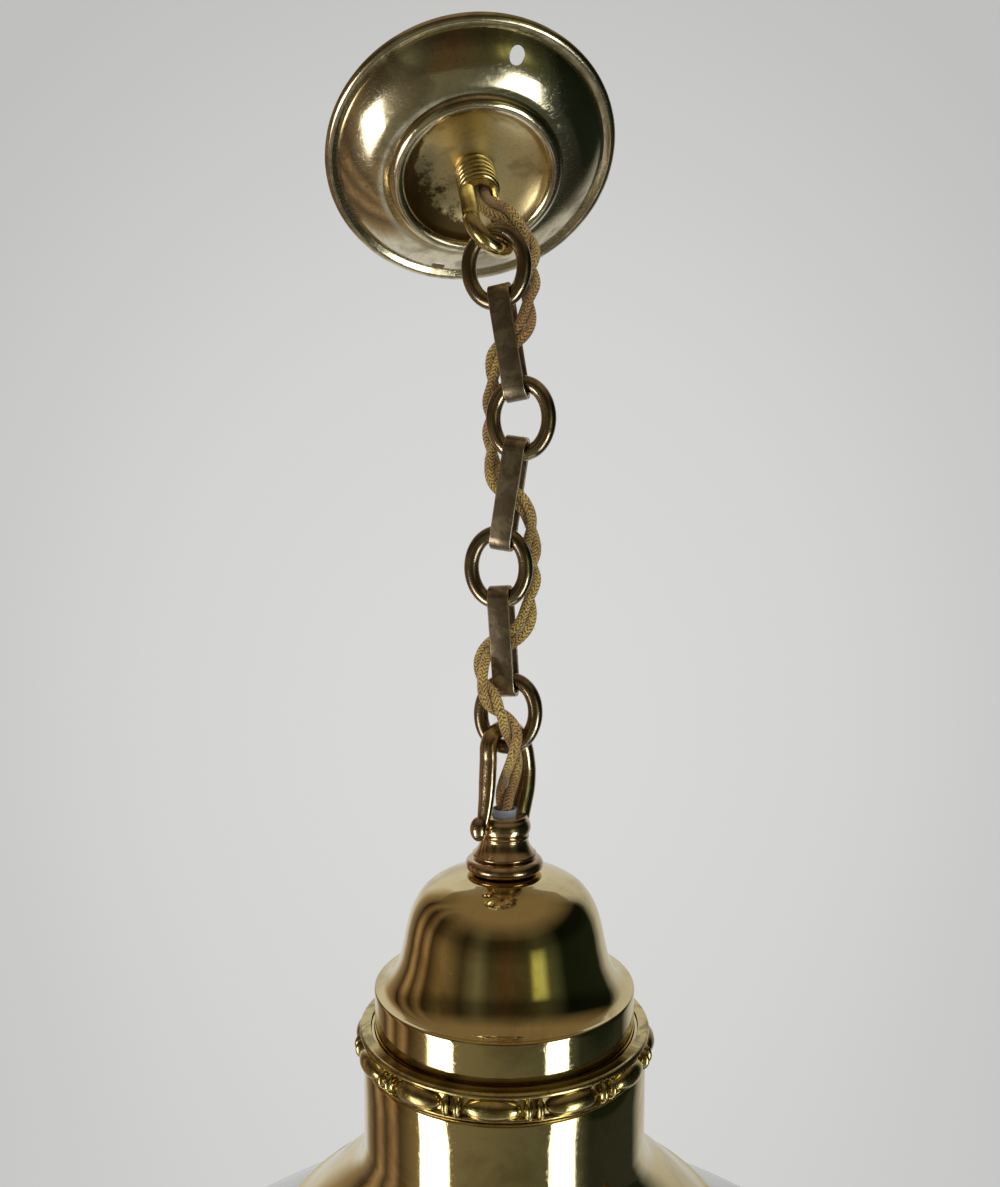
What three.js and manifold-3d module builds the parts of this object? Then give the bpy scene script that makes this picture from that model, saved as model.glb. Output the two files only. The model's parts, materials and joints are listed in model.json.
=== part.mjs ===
// Opaline ceiling light: brass rose, hook, ring-and-strap chain, bell gallery and glass shade.
// Millimetres, +Z up. The origin is the centre of the rose's back rim, which meets the ceiling.
// The rose is tilted as it hangs in the photograph; the chain and the lamp hang plumb below it.
import * as THREE from 'three';
import { mergeVertices } from 'three/addons/utils/BufferGeometryUtils.js';
import Module from 'manifold-3d';

const wasm = await Module();
wasm.setup();

const { degToRad } = THREE.MathUtils;
const full_turn = 2 * Math.PI;
const right_angle = Math.PI / 2;

// Clearances
const gap = 0.3; // between pieces that touch
const seat_gap = 0.35; // between links that hang in each other
const overrun = 2; // how far a cutter passes the face that it cuts

// Rose
const rose_tilt = degToRad(-39.7); // about X, face towards the viewer
const rose_roll = degToRad(-11.5); // about Y, face towards the right
const rose_radius = 57;
const rose_wall = 1;
const rim_height = 4.2;
const rim_flat = 3.6; // width of the flat back of the rim
const dome_depth = 14.2; // rim plane to the foot of the bead
const bead_radius = 3;
const bead_ring_radius = 30.6;
const dish_depth = 9.5; // rim plane to the middle of the dish
const screw_hole_radius = 2.9;
const screw_hole_ring = 46.5;
const screw_hole_turn = degToRad(-62);

// Rose hook: ribbed hollow stem and hook in one piece
const stem_radius = 7.2;
const rib_radius = 7.8;
const rib_count = 5;
const rib_pitch = 2.6;
const stem_collar = 1.2; // plain ends above and below the ribs
const stem_bore = 4.7;
const tail_radius = 5.6;
const tail_length = 5.6;
const hook_rod = 3.2;
const hook_arc = 8.8; // radius of the hook's centre line
const hook_drop = 47; // rim plane to the centre of that arc
const hook_turn = degToRad(50); // of the hook's plane about the stem
const hook_tip_gap = 1.6;
const hook_side_place = 1.2; // the first ring's centre to the hook, sideways
const washer_wall = 1;
const rose_nut_height = 2.8;
const rose_nut_radius = 9.4;

// Connector inside the rose
const block_turn = degToRad(185);
const block_start = 15.5; // stem axis to the block's near face
const block_size = { length: 10, width: 24, height: 6 };
const terminal_spread = 6;
const terminal_bore = 1.5;
const terminal_screw_radius = 1.3;
const terminal_head_radius = 2.4;
const terminal_head_height = 1.2;

// Chain
const chain_turn = degToRad(-14); // of the links' plane about Z
const ring_wire = 5.6;
const ring_height = 31.6;
const ring_width = 26.6;
const ring_pitch = 55.2; // from ring centre to ring centre, measured down
const ring_sides = [-3.1, 6.2, -2.3, 1.4]; // ring centres beside the plumb line
const ring_turns = [0, 0, 0, -8].map(degToRad);
const strap_width = 8.2;
const strap_wall = 1.3;
const strap_room = 7.6; // between a strap's front and back

// Carrier hook: open cast hook on a turned, hollow base
const carrier_turn = degToRad(45); // of the hook's plane about Z
const carrier_rod = 3.2;
const carrier_drop = 55.5; // top of the hook's centre line to the bell's crown
const flange_radius = 14.9;
const flange_height = 5.4;
const waist_radius = 10.2;
const neck_radius = 9.3;
const base_height = 21.6;
const base_bore = 4.9;
const sleeve_wall = 0.4;
const sleeve_height = 12;
const sleeve_rise = 4.6; // how far the sleeve stands out of the base

// Threaded tube that clamps the bell under the base
const tube_radius = 6.2;
const tube_bore = 4.7;
const tube_length = 90;
const tube_seat = 11; // how far it screws into the base
const tube_nut_radius = 10.6;
const tube_nut_height = 5;
const tube_washer_radius = 12.5;

// Bell, trim and skirt; heights are measured down from the bell's crown
const metal_wall = 0.9;
const bell_height = 44.4;
const bell_radius = 50;
const bell_lip = 1.2;
const crown_radius = 15.6;
const band_height = 28; // below the bell's lip
const skirt_neck_radius = 54.4;
const neck_top = 70.4; // top edge of the skirt's neck
const flare_top = 109; // where the neck ends and the cone begins
const skirt_radius = 90;
const cone_fall_share = 1.04; // fall of the cone as a share of its growth in radius
const skirt_edge = 1.6; // radius of the rolled edge
const spigot_height = 10.8; // of the sleeve that stands above the skirt's neck
const trim_repeats = 12;
const trim_radius = 54.3; // of the ring through the middle of the beads
const trim_bead = 4.2;
const trim_height = 10.6;
const trim_lip = 0.9; // radius of the plain moulding above the beads

// Glass
const glass_wall = 3.2;
const glass_neck_inset = 24; // from the skirt's edge in to the glass's neck
const glass_neck_radius = skirt_radius - glass_neck_inset;
const glass_neck_height = 13;
const glass_radius = 180;
const glass_fall = 64.5; // of the shoulder, from under the skirt's edge to the lip
const glass_lip = 7;
const glass_clearance = 3.2; // the glass's top edge to the cone, measured level
const skirt_room = 3.3; // from the skirt's edge down to the glass

// Screws that hold the glass
const screw_turns = [90, 210, 330].map(degToRad);
const screw_radius = 1.9;
const screw_head_radius = 6;
const screw_head_wall = 3;
const boss_radius = 4.4;
const boss_length = 13;

// Lampholder and bulb
const holder_radius = 17.6;
const holder_barrel = 13;
const holder_wall = 1;
const holder_height = 40;
const cap_height = 14;
const ring_nut_radius = 20;
const ring_nut_height = 7;
const core_height = 9;
const slot_width = 3;
const plunger_radius = 2.2;
const plunger_length = 11;
const plunger_spread = 5.2;
const bulb_cap_radius = 11;
const bulb_cap_height = 17;
const pin_radius = 1;
const bulb_radius = 30;
const bulb_length = 82;
const bulb_travel = 2.5;

// Flex
const core_radius = 1.8;
const conductor_radius = 1.1; // where a core is stripped
const core_spread = 2.02; // from the flex's centre line to each core's
const strap_half_turns = 3; // half turns of the pair from strap to strap
const strap_ease_share = 0.9; // how much the pair slows its turning at a strap

// Facets
const round = 32;
const small_round = 20;
const glass_round = 40;
const wire_round = 8;

const brass = { color: 0xb08d4a, roughness: 0.3, metalness: 1 };
const aged_brass = { color: 0x8f7a55, roughness: 0.42, metalness: 1 };
const chain_brass = { color: 0x6e5d43, roughness: 0.45, metalness: 1 };
const copper_brass = { color: 0x9a6f4c, roughness: 0.3, metalness: 1 };
const cloth = { color: 0x8f7233, roughness: 0.9, metalness: 0 };
const opal = { color: 0xcfcfca, roughness: 0.15, metalness: 0 };
const rubber = { color: 0x7d8590, roughness: 0.5, metalness: 0 };
const clear_glass = { color: 0xe8e8e4, roughness: 0.1, metalness: 0 };
const dark_plastic = { color: 0x2b211b, roughness: 0.4, metalness: 0 };
const porcelain = { color: 0xe6e0d2, roughness: 0.3, metalness: 0 };

function mesh(name, geometry, finish, parent) {
  const piece = new THREE.Mesh(geometry, new THREE.MeshStandardMaterial(finish));
  piece.name = name;
  parent.add(piece);
  return piece;
}

// Turns a closed shape's faces outwards
function facing_out(geometry) {
  const p = geometry.attributes.position;
  const index = geometry.index.array;
  const [a, b, c] = [new THREE.Vector3(), new THREE.Vector3(), new THREE.Vector3()];
  let volume = 0;
  for (let i = 0; i < index.length; i += 3) {
    a.fromBufferAttribute(p, index[i]);
    b.fromBufferAttribute(p, index[i + 1]);
    c.fromBufferAttribute(p, index[i + 2]);
    volume += a.dot(b.cross(c));
  }
  if (volume < 0) {
    for (let i = 0; i < index.length; i += 3) {
      [index[i + 1], index[i + 2]] = [index[i + 2], index[i + 1]];
    }
  }
  return geometry;
}

// A solid of revolution about Z; its profile is closed
function turned(profile, segments = round) {
  const points = profile.map(([r, z]) => new THREE.Vector2(r, z));
  if (points[0].x > 0 || points[points.length - 1].x > 0) points.push(points[0].clone());
  const geometry = new THREE.LatheGeometry(points, segments);
  geometry.rotateX(right_angle);
  return facing_out(geometry);
}

function cylinder(radius, bottom, top, segments = small_round) {
  return turned([[0, bottom], [radius, bottom], [radius, top], [0, top]], segments);
}

function washer(radius, bore, bottom, top) {
  return turned([[bore, bottom], [radius, bottom], [radius, top], [bore, top]], small_round);
}

function solid(geometry) {
  const bare = geometry.clone();
  bare.deleteAttribute('normal');
  bare.deleteAttribute('uv');
  const merged = mergeVertices(bare);
  return new wasm.Manifold(new wasm.Mesh({
    numProp: 3,
    vertProperties: new Float32Array(merged.attributes.position.array),
    triVerts: new Uint32Array(merged.index.array),
  }));
}

function shape_of(manifold) {
  const result = manifold.getMesh();
  const geometry = new THREE.BufferGeometry();
  geometry.setAttribute('position', new THREE.BufferAttribute(new Float32Array(result.vertProperties), 3));
  geometry.setIndex(new THREE.BufferAttribute(new Uint32Array(result.triVerts), 1));
  geometry.computeVertexNormals();
  return geometry;
}

function joined(...geometries) {
  return shape_of(geometries.map(solid).reduce((whole, piece) => whole.add(piece)));
}

function cut(geometry, ...cutters) {
  return shape_of(cutters.map(solid).reduce((whole, piece) => whole.subtract(piece), solid(geometry)));
}

// A closed skin through equal loops of points, its ends closed flat or joined to each other
function skinned(loops, is_ring) {
  const around = loops[0].length;
  const index = [];
  const spans = is_ring ? loops.length : loops.length - 1;
  for (let i = 0; i < spans; i++) {
    const next = (i + 1) % loops.length;
    for (let j = 0; j < around; j++) {
      const [a, b] = [i * around + j, i * around + (j + 1) % around];
      const [c, d] = [next * around + j, next * around + (j + 1) % around];
      index.push(a, b, c, b, d, c);
    }
  }
  const last = (loops.length - 1) * around;
  for (let j = 1; j < around - 1 && !is_ring; j++) {
    index.push(0, j + 1, j, last, last + j, last + j + 1);
  }
  const geometry = new THREE.BufferGeometry();
  const positions = loops.flat().flatMap((point) => point.toArray());
  geometry.setAttribute('position', new THREE.Float32BufferAttribute(positions, 3));
  geometry.setIndex(index);
  geometry.computeVertexNormals();
  return facing_out(geometry);
}

// A round rod along a smooth curve, with a radius at each of the curve's points
function rod(points, radii, steps, sides = wire_round) {
  const curve = new THREE.CatmullRomCurve3(points, false, 'centripetal');
  const frames = curve.computeFrenetFrames(steps, false);
  const loops = frames.normals.map((normal, i) => {
    const share = i / steps;
    const centre = curve.getPointAt(share);
    const place = curve.getUtoTmapping(share) * (radii.length - 1);
    const low = Math.min(Math.floor(place), radii.length - 2);
    const radius = THREE.MathUtils.lerp(radii[low], radii[low + 1], place - low);
    return Array.from({ length: sides }, (_, j) => {
      const angle = full_turn * j / sides;
      return centre.clone()
        .addScaledVector(normal, radius * Math.cos(angle))
        .addScaledVector(frames.binormals[i], radius * Math.sin(angle));
    });
  });
  return skinned(loops, false);
}

function ball(radius, centre) {
  const geometry = new THREE.SphereGeometry(radius, 10, 8);
  geometry.translate(...centre.toArray());
  return geometry;
}

// Points of an arc in a profile, from one angle to another
function arc(centre_r, centre_z, radius, from, to, steps) {
  return Array.from({ length: steps + 1 }, (_, i) => {
    const angle = THREE.MathUtils.lerp(from, to, i / steps);
    return [centre_r + radius * Math.cos(angle), centre_z + radius * Math.sin(angle)];
  });
}

// A line moved sideways by the wall of a sheet, and turned back to front
function behind(outline, wall) {
  const back = outline.map(([r, z], i) => {
    const before = outline[Math.max(i - 1, 0)];
    const after = outline[Math.min(i + 1, outline.length - 1)];
    const along = new THREE.Vector2(after[0] - before[0], after[1] - before[1]).normalize();
    return [r + along.y * wall, z - along.x * wall];
  });
  return back.reverse();
}

function sheet(outline, wall) {
  return [...outline, ...behind(outline, wall)];
}

// A hexagon nut with a bore, standing on its bottom
function hexagon_nut(corner_radius, bore, bottom, top) {
  return cut(cylinder(corner_radius, bottom, top, 6), cylinder(bore, bottom - overrun, top + overrun));
}

// How far up a turned oval reaches at a place beside its centre
function reach(half_width, half_height, turn, side) {
  const [s, c] = [Math.sin(turn), Math.cos(turn)];
  const a = (s / half_width) ** 2 + (c / half_height) ** 2;
  const b = 2 * side * s * c * (1 / half_width ** 2 - 1 / half_height ** 2);
  const rest = side ** 2 * ((c / half_width) ** 2 + (s / half_height) ** 2) - 1;
  return (-b + Math.sqrt(b * b - 4 * a * rest)) / (2 * a);
}

// Rose cover: one spinning, its rim turned over to a flat back
const rose = new THREE.Group();
rose.rotation.set(rose_tilt, rose_roll, 0, 'YXZ');

function rose_cover() {
  const bead_foot = bead_ring_radius + bead_radius;
  const dome_width = rose_radius - rim_flat - bead_foot;
  const dish_rim = bead_ring_radius - bead_radius;
  const dome_shares = [[0.02, 0.98], [0.24, 0.91], [0.5, 0.75], [0.74, 0.54], [0.92, 0.33], [1, 0.24]];
  const dish_shares = [[0.3, 0], [0.6, 0.13], [0.86, 0.5], [0.98, 0.86]];
  const outline = [
    [tail_radius + gap, -dish_depth],
    ...dish_shares.map(([r, z]) => [dish_rim * r, -dish_depth - (dome_depth - dish_depth) * z]),
    ...arc(bead_ring_radius, -dome_depth, bead_radius, Math.PI * 1.08, Math.PI * 1.92, 6),
    ...dome_shares.map(([r, z]) => [bead_foot + dome_width * r, -dome_depth * z]),
  ];
  const roll = rim_height / 2;
  const rim = [
    ...arc(rose_radius - roll, -roll, roll, -right_angle * 1.3, right_angle, 6),
    [rose_radius - rim_flat - rose_wall, 0],
  ];
  const cover = turned([...outline, ...rim, ...behind(outline, -rose_wall)]);
  const holes = [screw_hole_turn, screw_hole_turn + Math.PI].map((turn) => {
    const drill = cylinder(screw_hole_radius, -dome_depth - overrun, overrun);
    drill.translate(screw_hole_ring * Math.cos(turn), screw_hole_ring * Math.sin(turn), 0);
    return drill;
  });
  return cut(cover, ...holes);
}
mesh('rose_cover', rose_cover(), aged_brass, rose);

// Rose hook: hollow ribbed stem with a threaded tail, and a rod bent to a hook
const stem_top = -dish_depth - gap;
const tail_top = stem_top + tail_length;
const stem_end = stem_top - 2 * stem_collar - rib_count * rib_pitch;

function rose_hook() {
  const ribs = [];
  for (let i = 0; i < rib_count; i++) {
    const top = stem_top - stem_collar - i * rib_pitch;
    ribs.push([stem_radius, top], [rib_radius, top - rib_pitch / 3], [rib_radius, top - rib_pitch * 2 / 3]);
  }
  const stem = turned([
    [stem_bore, tail_top], [tail_radius, tail_top], [tail_radius, stem_top], [stem_radius, stem_top],
    ...ribs,
    [stem_radius, stem_end + stem_collar], [stem_radius, stem_end + stem_collar / 2],
    [stem_radius - stem_collar / 2, stem_end], [stem_bore, stem_end],
  ], small_round);
  const points = [
    new THREE.Vector3(stem_radius - stem_collar, 0, stem_end + stem_collar),
    new THREE.Vector3(hook_arc - stem_collar / 2, 0, (stem_end - hook_drop) / 2),
  ];
  const arc_points = arc(0, -hook_drop, hook_arc, degToRad(8), -degToRad(196), 6);
  points.push(...arc_points.map(([side, up]) => new THREE.Vector3(side, 0, up)));
  const tip = new THREE.Vector3(-hook_arc + stem_collar, 0, stem_end - hook_tip_gap - hook_rod);
  points.push(tip);
  const bent = rod(points, points.map(() => hook_rod), 30);
  return cut(joined(stem, bent, ball(hook_rod, tip)), cylinder(stem_bore, stem_end - overrun, overrun));
}
const hook_piece = mesh('rose_hook', rose_hook(), aged_brass, rose);
hook_piece.rotation.z = hook_turn;

const washer_bottom = -dish_depth + rose_wall + gap;
const washer_top = washer_bottom + washer_wall;
const rose_nut_top = washer_top + gap + rose_nut_height;
mesh('hook_washer', washer(rose_nut_radius, tail_radius + gap, washer_bottom, washer_top), brass, rose);
mesh('hook_nut', hexagon_nut(rose_nut_radius, tail_radius + gap, washer_top + gap, rose_nut_top), brass, rose);

// Connector: a porcelain block with two clamping screws
const block = new THREE.Group();
block.rotation.z = block_turn;
rose.add(block);
const block_bottom = -dish_depth + rose_wall - gap;
const block_top = block_bottom + block_size.height;
const terminal_height = (block_bottom + block_top) / 2;
const terminal_reach = block_start + block_size.length / 2;

function terminal_block() {
  const { length, width, height } = block_size;
  const body = new THREE.BoxGeometry(length, width, height);
  body.translate(terminal_reach, 0, terminal_height);
  const holes = [];
  for (const side of [-terminal_spread, terminal_spread]) {
    const entry = cylinder(terminal_bore, block_start - overrun, terminal_reach + length / 4, 12);
    entry.rotateY(right_angle);
    entry.translate(0, side, terminal_height);
    const tap = cylinder(terminal_screw_radius + gap, terminal_height, block_top + overrun, 12);
    tap.translate(terminal_reach, side, 0);
    holes.push(entry, tap);
  }
  return cut(body, ...holes);
}
mesh('terminal_block', terminal_block(), porcelain, block);

[-terminal_spread, terminal_spread].forEach((side, i) => {
  const head_bottom = block_top + gap;
  const screw = joined(
    cylinder(terminal_screw_radius, terminal_height + conductor_radius + gap, head_bottom + gap, 12),
    cylinder(terminal_head_radius, head_bottom, head_bottom + terminal_head_height, 12),
  );
  mesh(`terminal_screw_${i + 1}`, screw, brass, block).position.set(terminal_reach, side, 0);
});
rose.updateMatrixWorld(true);

// Chain: the lowest point of the rose hook carries the first ring
const arc_centre = new THREE.Vector3(0, 0, -hook_drop).applyMatrix4(rose.matrixWorld);
const hook_side = new THREE.Vector3(0, 1, 0).transformDirection(hook_piece.matrixWorld);
const lowest = new THREE.Vector3(0, 0, -1).projectOnPlane(hook_side).normalize();
const hook_bottom = arc_centre.clone().addScaledVector(lowest, hook_arc);
const hook_along = hook_side.clone().cross(lowest);

const beside = new THREE.Vector3(Math.cos(chain_turn), Math.sin(chain_turn), 0);
const inner_width = ring_width / 2 - ring_wire;
const inner_height = ring_height / 2 - ring_wire;

// The drop from a ring's centre to the centre of a rod that crosses its plane at a slant
function hook_seat(crossing, turn, side) {
  const wide_rod = hook_rod / Math.sin(crossing);
  return reach(inner_width - wide_rod - 2 * seat_gap, inner_height - hook_rod - seat_gap, turn, side);
}
const first_seat = hook_seat(hook_along.angleTo(beside), ring_turns[0], hook_side_place);

// Chain frame: X beside the plumb line, Y behind it, Z up; its origin is at the first ring's height
const chain = new THREE.Group();
chain.rotation.z = chain_turn;
chain.position.copy(hook_bottom).addScaledVector(beside, -ring_sides[0] - hook_side_place);
chain.position.z -= first_seat;

// An oval ring of round wire, in the chain's plane
function oval_ring() {
  const wire = ring_wire / 2;
  const [half_width, half_height] = [ring_width / 2 - wire, ring_height / 2 - wire];
  const steps = 30;
  const loops = Array.from({ length: steps }, (_, i) => {
    const angle = full_turn * i / steps;
    const out = new THREE.Vector2(Math.cos(angle) / half_width, Math.sin(angle) / half_height).normalize();
    return Array.from({ length: wire_round }, (__, j) => {
      const turn = full_turn * j / wire_round;
      const x = half_width * Math.cos(angle) + wire * Math.cos(turn) * out.x;
      const z = half_height * Math.sin(angle) + wire * Math.cos(turn) * out.y;
      return new THREE.Vector3(x, wire * Math.sin(turn), z);
    });
  });
  return skinned(loops, true);
}

const rings = ring_sides.map((side, i) => {
  const ring = mesh(`ring_${i + 1}`, oval_ring(), chain_brass, chain);
  ring.position.set(side, 0, -i * ring_pitch);
  ring.rotation.y = -ring_turns[i];
  return ring;
});

// A flat strap bent to a long loop; its ends rest on two rings
function strap(room_length) {
  const inside = strap_room / 2;
  const straight = room_length / 2 - inside;
  const outline = (path, radius) => {
    path.absarc(0, straight, radius, 0, Math.PI, false);
    path.absarc(0, -straight, radius, Math.PI, full_turn, false);
    path.closePath();
    return path;
  };
  const shape = outline(new THREE.Shape(), inside + strap_wall);
  shape.holes.push(outline(new THREE.Path(), inside));
  const geometry = new THREE.ExtrudeGeometry(shape, {
    depth: strap_width, bevelEnabled: false, curveSegments: 8,
  });
  geometry.translate(0, 0, -strap_width / 2);
  geometry.rotateX(right_angle);
  geometry.rotateZ(right_angle);
  return geometry;
}

function strap_seat(turn) {
  const sides = [-strap_width / 2, strap_width / 2];
  return Math.min(...sides.map((side) => reach(inner_width, inner_height, turn, side))) - seat_gap;
}

const straps = rings.slice(1).map((ring, i) => {
  const [upper, lower] = [rings[i].position, ring.position];
  const span = lower.clone().sub(upper);
  const lean = Math.atan2(span.x, -span.z);
  const upper_seat = strap_seat(ring_turns[i] - lean);
  const lower_seat = strap_seat(ring_turns[i + 1] - lean);
  const room = span.length() - upper_seat - lower_seat;
  const piece = mesh(`strap_${i + 1}`, strap(room), chain_brass, chain);
  piece.position.copy(upper).addScaledVector(span.normalize(), upper_seat + room / 2);
  piece.rotation.y = -lean;
  return piece;
});

// Lamp frame: its origin is the bell's crown, on the lamp's axis
const last = rings.length - 1;
const last_seat = hook_seat(carrier_turn - chain_turn, ring_turns[last], ring_sides[last]) - 2 * seat_gap;
const lamp = new THREE.Group();
lamp.position.copy(chain.position);
lamp.position.z -= last * ring_pitch + last_seat + carrier_drop;

// Carrier hook: the thick arm rises behind, the thin arm comes down in front and curls at its tip
const base_bottom = gap;
const base_top = base_bottom + base_height;

function carrier_hook() {
  const round_edge = flange_height / 2;
  const base = turned([
    [base_bore, base_bottom], [flange_radius - round_edge, base_bottom],
    ...arc(flange_radius - round_edge, base_bottom + round_edge, round_edge, -right_angle * 0.9,
      right_angle * 0.9, 6),
    [waist_radius + gap, base_bottom + flange_height + gap], [waist_radius, base_bottom + base_height * 0.38],
    [waist_radius - gap, base_bottom + base_height * 0.52], [neck_radius, base_bottom + base_height * 0.64],
    [neck_radius, base_top - gap], [neck_radius - gap, base_top], [base_bore, base_top],
  ], small_round);
  const arm_shares = [
    [0.13, -0.7], [0.15, -0.6], [0.2, -0.44], [0.209, -0.27], [0.16, -0.1], [0.065, -0.013], [0, 0],
    [-0.069, -0.013], [-0.157, -0.078], [-0.178, -0.235], [-0.178, -0.4], [-0.185, -0.54], [-0.207, -0.64],
    [-0.244, -0.68],
  ];
  const thickness_shares = [1.2, 1.28, 1.25, 1.18, 1.08, 1, 1, 1, 1, 0.97, 0.94, 0.88, 0.8, 0.8];
  const points = arm_shares.map(([side, up]) => new THREE.Vector3(
    side * carrier_drop, 0, carrier_drop + up * carrier_drop,
  ));
  const bent = rod(points, thickness_shares.map((share) => share * carrier_rod), 36);
  const tip = ball(carrier_rod, points[points.length - 1]);
  const bore = cylinder(base_bore, base_bottom - overrun, base_top + overrun);
  const socket = cylinder(tube_radius + gap, base_bottom - overrun, base_bottom + tube_seat);
  return cut(joined(base, bent, tip), bore, socket);
}
mesh('carrier_hook', carrier_hook(), copper_brass, lamp).rotation.z = carrier_turn;

const sleeve_radius = base_bore - gap;
const sleeve_top = base_top + sleeve_rise;
mesh('cord_sleeve', washer(sleeve_radius, sleeve_radius - sleeve_wall, sleeve_top - sleeve_height, sleeve_top),
  rubber, lamp);

// Threaded tube from the base down to the lampholder, with the washer and nut under the bell
const tube_top = base_bottom + tube_seat - gap;
const tube_bottom = tube_top - tube_length;
mesh('stem_tube', washer(tube_radius, tube_bore, tube_bottom, tube_top), brass, lamp);
const under_crown = -metal_wall - gap;
mesh('stem_washer', washer(tube_washer_radius, tube_radius + gap, under_crown - washer_wall, under_crown),
  brass, lamp);
const nut_top = under_crown - washer_wall - gap;
mesh('stem_nut', hexagon_nut(tube_nut_radius, tube_radius + gap, nut_top - tube_nut_height, nut_top),
  brass, lamp);

// Bell: crown, waist and lip, with the plain band below it
function bell_cap() {
  const bell_shares = [
    [0.49, 0.065], [0.615, 0.16], [0.7, 0.3], [0.745, 0.45],
    [0.775, 0.61], [0.81, 0.765], [0.86, 0.885], [0.915, 0.955], [0.975, 0.985], [1, 1],
  ];
  return turned(sheet([
    [tube_radius + gap, 0], [crown_radius, 0],
    ...bell_shares.map(([r, z]) => [bell_radius * r, -bell_height * z]),
    [bell_radius, -bell_height - bell_lip],
    [bell_radius, -bell_height - band_height],
  ], metal_wall));
}
mesh('bell_cap', bell_cap(), brass, lamp);

// Skirt: a sleeve round the bell's band, the neck below it, and a cone with a rolled edge
const spigot_radius = bell_radius + gap + metal_wall;
const skirt_fall = (skirt_radius - skirt_neck_radius) * cone_fall_share;
const skirt_bottom = -flare_top - skirt_fall;

function skirt() {
  const bend_share = 0.06;
  const bend = skirt_fall * bend_share;
  const outline = [
    [spigot_radius, -neck_top + spigot_height],
    [spigot_radius, -neck_top + metal_wall],
    [skirt_neck_radius - metal_wall, -neck_top],
    [skirt_neck_radius, -neck_top - metal_wall],
    [skirt_neck_radius, -flare_top + bend * 2],
    [skirt_neck_radius + bend / 3, -flare_top],
    [skirt_neck_radius + bend * 1.6, -flare_top - bend * 1.4],
    [skirt_radius - skirt_edge, skirt_bottom + skirt_edge],
  ];
  const edge = arc(skirt_radius - skirt_edge, skirt_bottom, skirt_edge, right_angle, -right_angle * 1.5, 5);
  return turned([...outline, ...edge.slice(1), ...behind(outline, metal_wall)]);
}

// Trim: a run of long beads with two reels between each pair, under a plain moulding
function trim_bulge(place) {
  const [bead_share, reel_share, reel_place, groove_share] = [0.33, 0.06, 0.41, 0.46];
  const away = Math.abs(place - Math.round(place));
  const bead = Math.max(0, 1 - (away / bead_share) ** 2) ** 0.5;
  const reel = Math.max(0, 1 - ((away - reel_place) / reel_share) ** 2) ** 0.5 * 0.9;
  return trim_bead * Math.max(bead, reel, groove_share);
}

function trim_ring() {
  const half = [0, 0.16, 0.27, 0.325, 0.37, 0.41, 0.45, 0.5];
  const repeat = [...half, ...half.slice(1, -1).reverse().map((place) => 1 - place)];
  const places = Array.from({ length: trim_repeats }, (_, i) => repeat.map((place) => i + place)).flat();
  const [inside, bottom] = [spigot_radius + gap, -neck_top + metal_wall + gap];
  const top = bottom + trim_height;
  const middle = bottom + trim_bead;
  const foot = trim_radius - metal_wall;
  const loops = places.map((place) => {
    const angle = full_turn * place / trim_repeats;
    const bulge = trim_bulge(place);
    const side = [
      [inside, bottom], [foot, bottom],
      ...arc(trim_radius, middle, bulge, -right_angle, right_angle, 4),
      [trim_radius + trim_lip, top - trim_lip], [foot, top], [inside, top],
    ];
    return side.map(([r, z]) => new THREE.Vector3(r * Math.cos(angle), r * Math.sin(angle), z));
  });
  return skinned(loops, true);
}
mesh('trim_ring', trim_ring(), brass, lamp).rotation.z = degToRad(-94.5);

// Glass: an upright neck inside the cone, a shoulder that passes under the skirt's edge, and a lip
const glass_drop = flare_top + (glass_neck_radius + glass_clearance - skirt_neck_radius) * cone_fall_share;

function glass_shade() {
  const foot = -glass_drop - glass_neck_height;
  const under_edge = skirt_bottom - skirt_edge - skirt_room;
  const bend_shares = [[0, 0], [0.25, 0.13], [1, 1]];
  const shoulder_shares = [[0.334, 0.326], [0.667, 0.651], [0.868, 0.848], [0.956, 0.949], [1, 1.06]];
  return turned(sheet([
    [glass_neck_radius, -glass_drop],
    ...bend_shares.map(([r, z]) => [
      glass_neck_radius + (skirt_radius - glass_neck_radius) * r, foot + (under_edge - foot) * z,
    ]),
    ...shoulder_shares.map(([r, z]) => [
      skirt_radius + (glass_radius - skirt_radius) * r, under_edge - glass_fall * z,
    ]),
    [glass_radius, under_edge - glass_fall - glass_lip],
  ], glass_wall), glass_round);
}
mesh('glass_shade', glass_shade(), opal, lamp);

// Screws: each passes through the cone in a boss and bears on the glass's neck
const screw_height = -glass_drop - glass_neck_height * 0.55;
const cone_radius = skirt_neck_radius + (-flare_top - screw_height) / cone_fall_share;
const boss_start = cone_radius - boss_length * 0.42;
const boss_end = boss_start + boss_length;
const screw_seats = [];

screw_turns.forEach((turn, i) => {
  const place = new THREE.Group();
  place.rotation.z = turn;
  place.position.z = screw_height;
  lamp.add(place);
  const boss = cut(cylinder(boss_radius, boss_start, boss_end, 12),
    cylinder(screw_radius + gap, boss_start - overrun, boss_end + overrun, 12));
  boss.rotateY(right_angle);
  mesh(`screw_boss_${i + 1}`, boss, brass, place);
  const disc_start = boss_end + gap;
  const disc_end = disc_start + screw_head_wall;
  const screw = joined(
    cylinder(screw_radius, glass_neck_radius + gap, disc_start + gap, 12),
    cylinder(screw_head_radius, disc_start, disc_end),
    cylinder(screw_head_radius / 2, disc_end - gap, disc_end + screw_head_wall, 12),
  );
  screw.rotateY(right_angle);
  mesh(`thumbscrew_${i + 1}`, screw, brass, place);
  const seat = cylinder(boss_radius + gap, boss_start - overrun, boss_end + overrun, 12);
  seat.rotateY(right_angle);
  seat.rotateZ(turn);
  seat.translate(0, 0, screw_height);
  screw_seats.push(seat);
});
mesh('skirt', cut(skirt(), ...screw_seats), brass, lamp);

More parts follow.
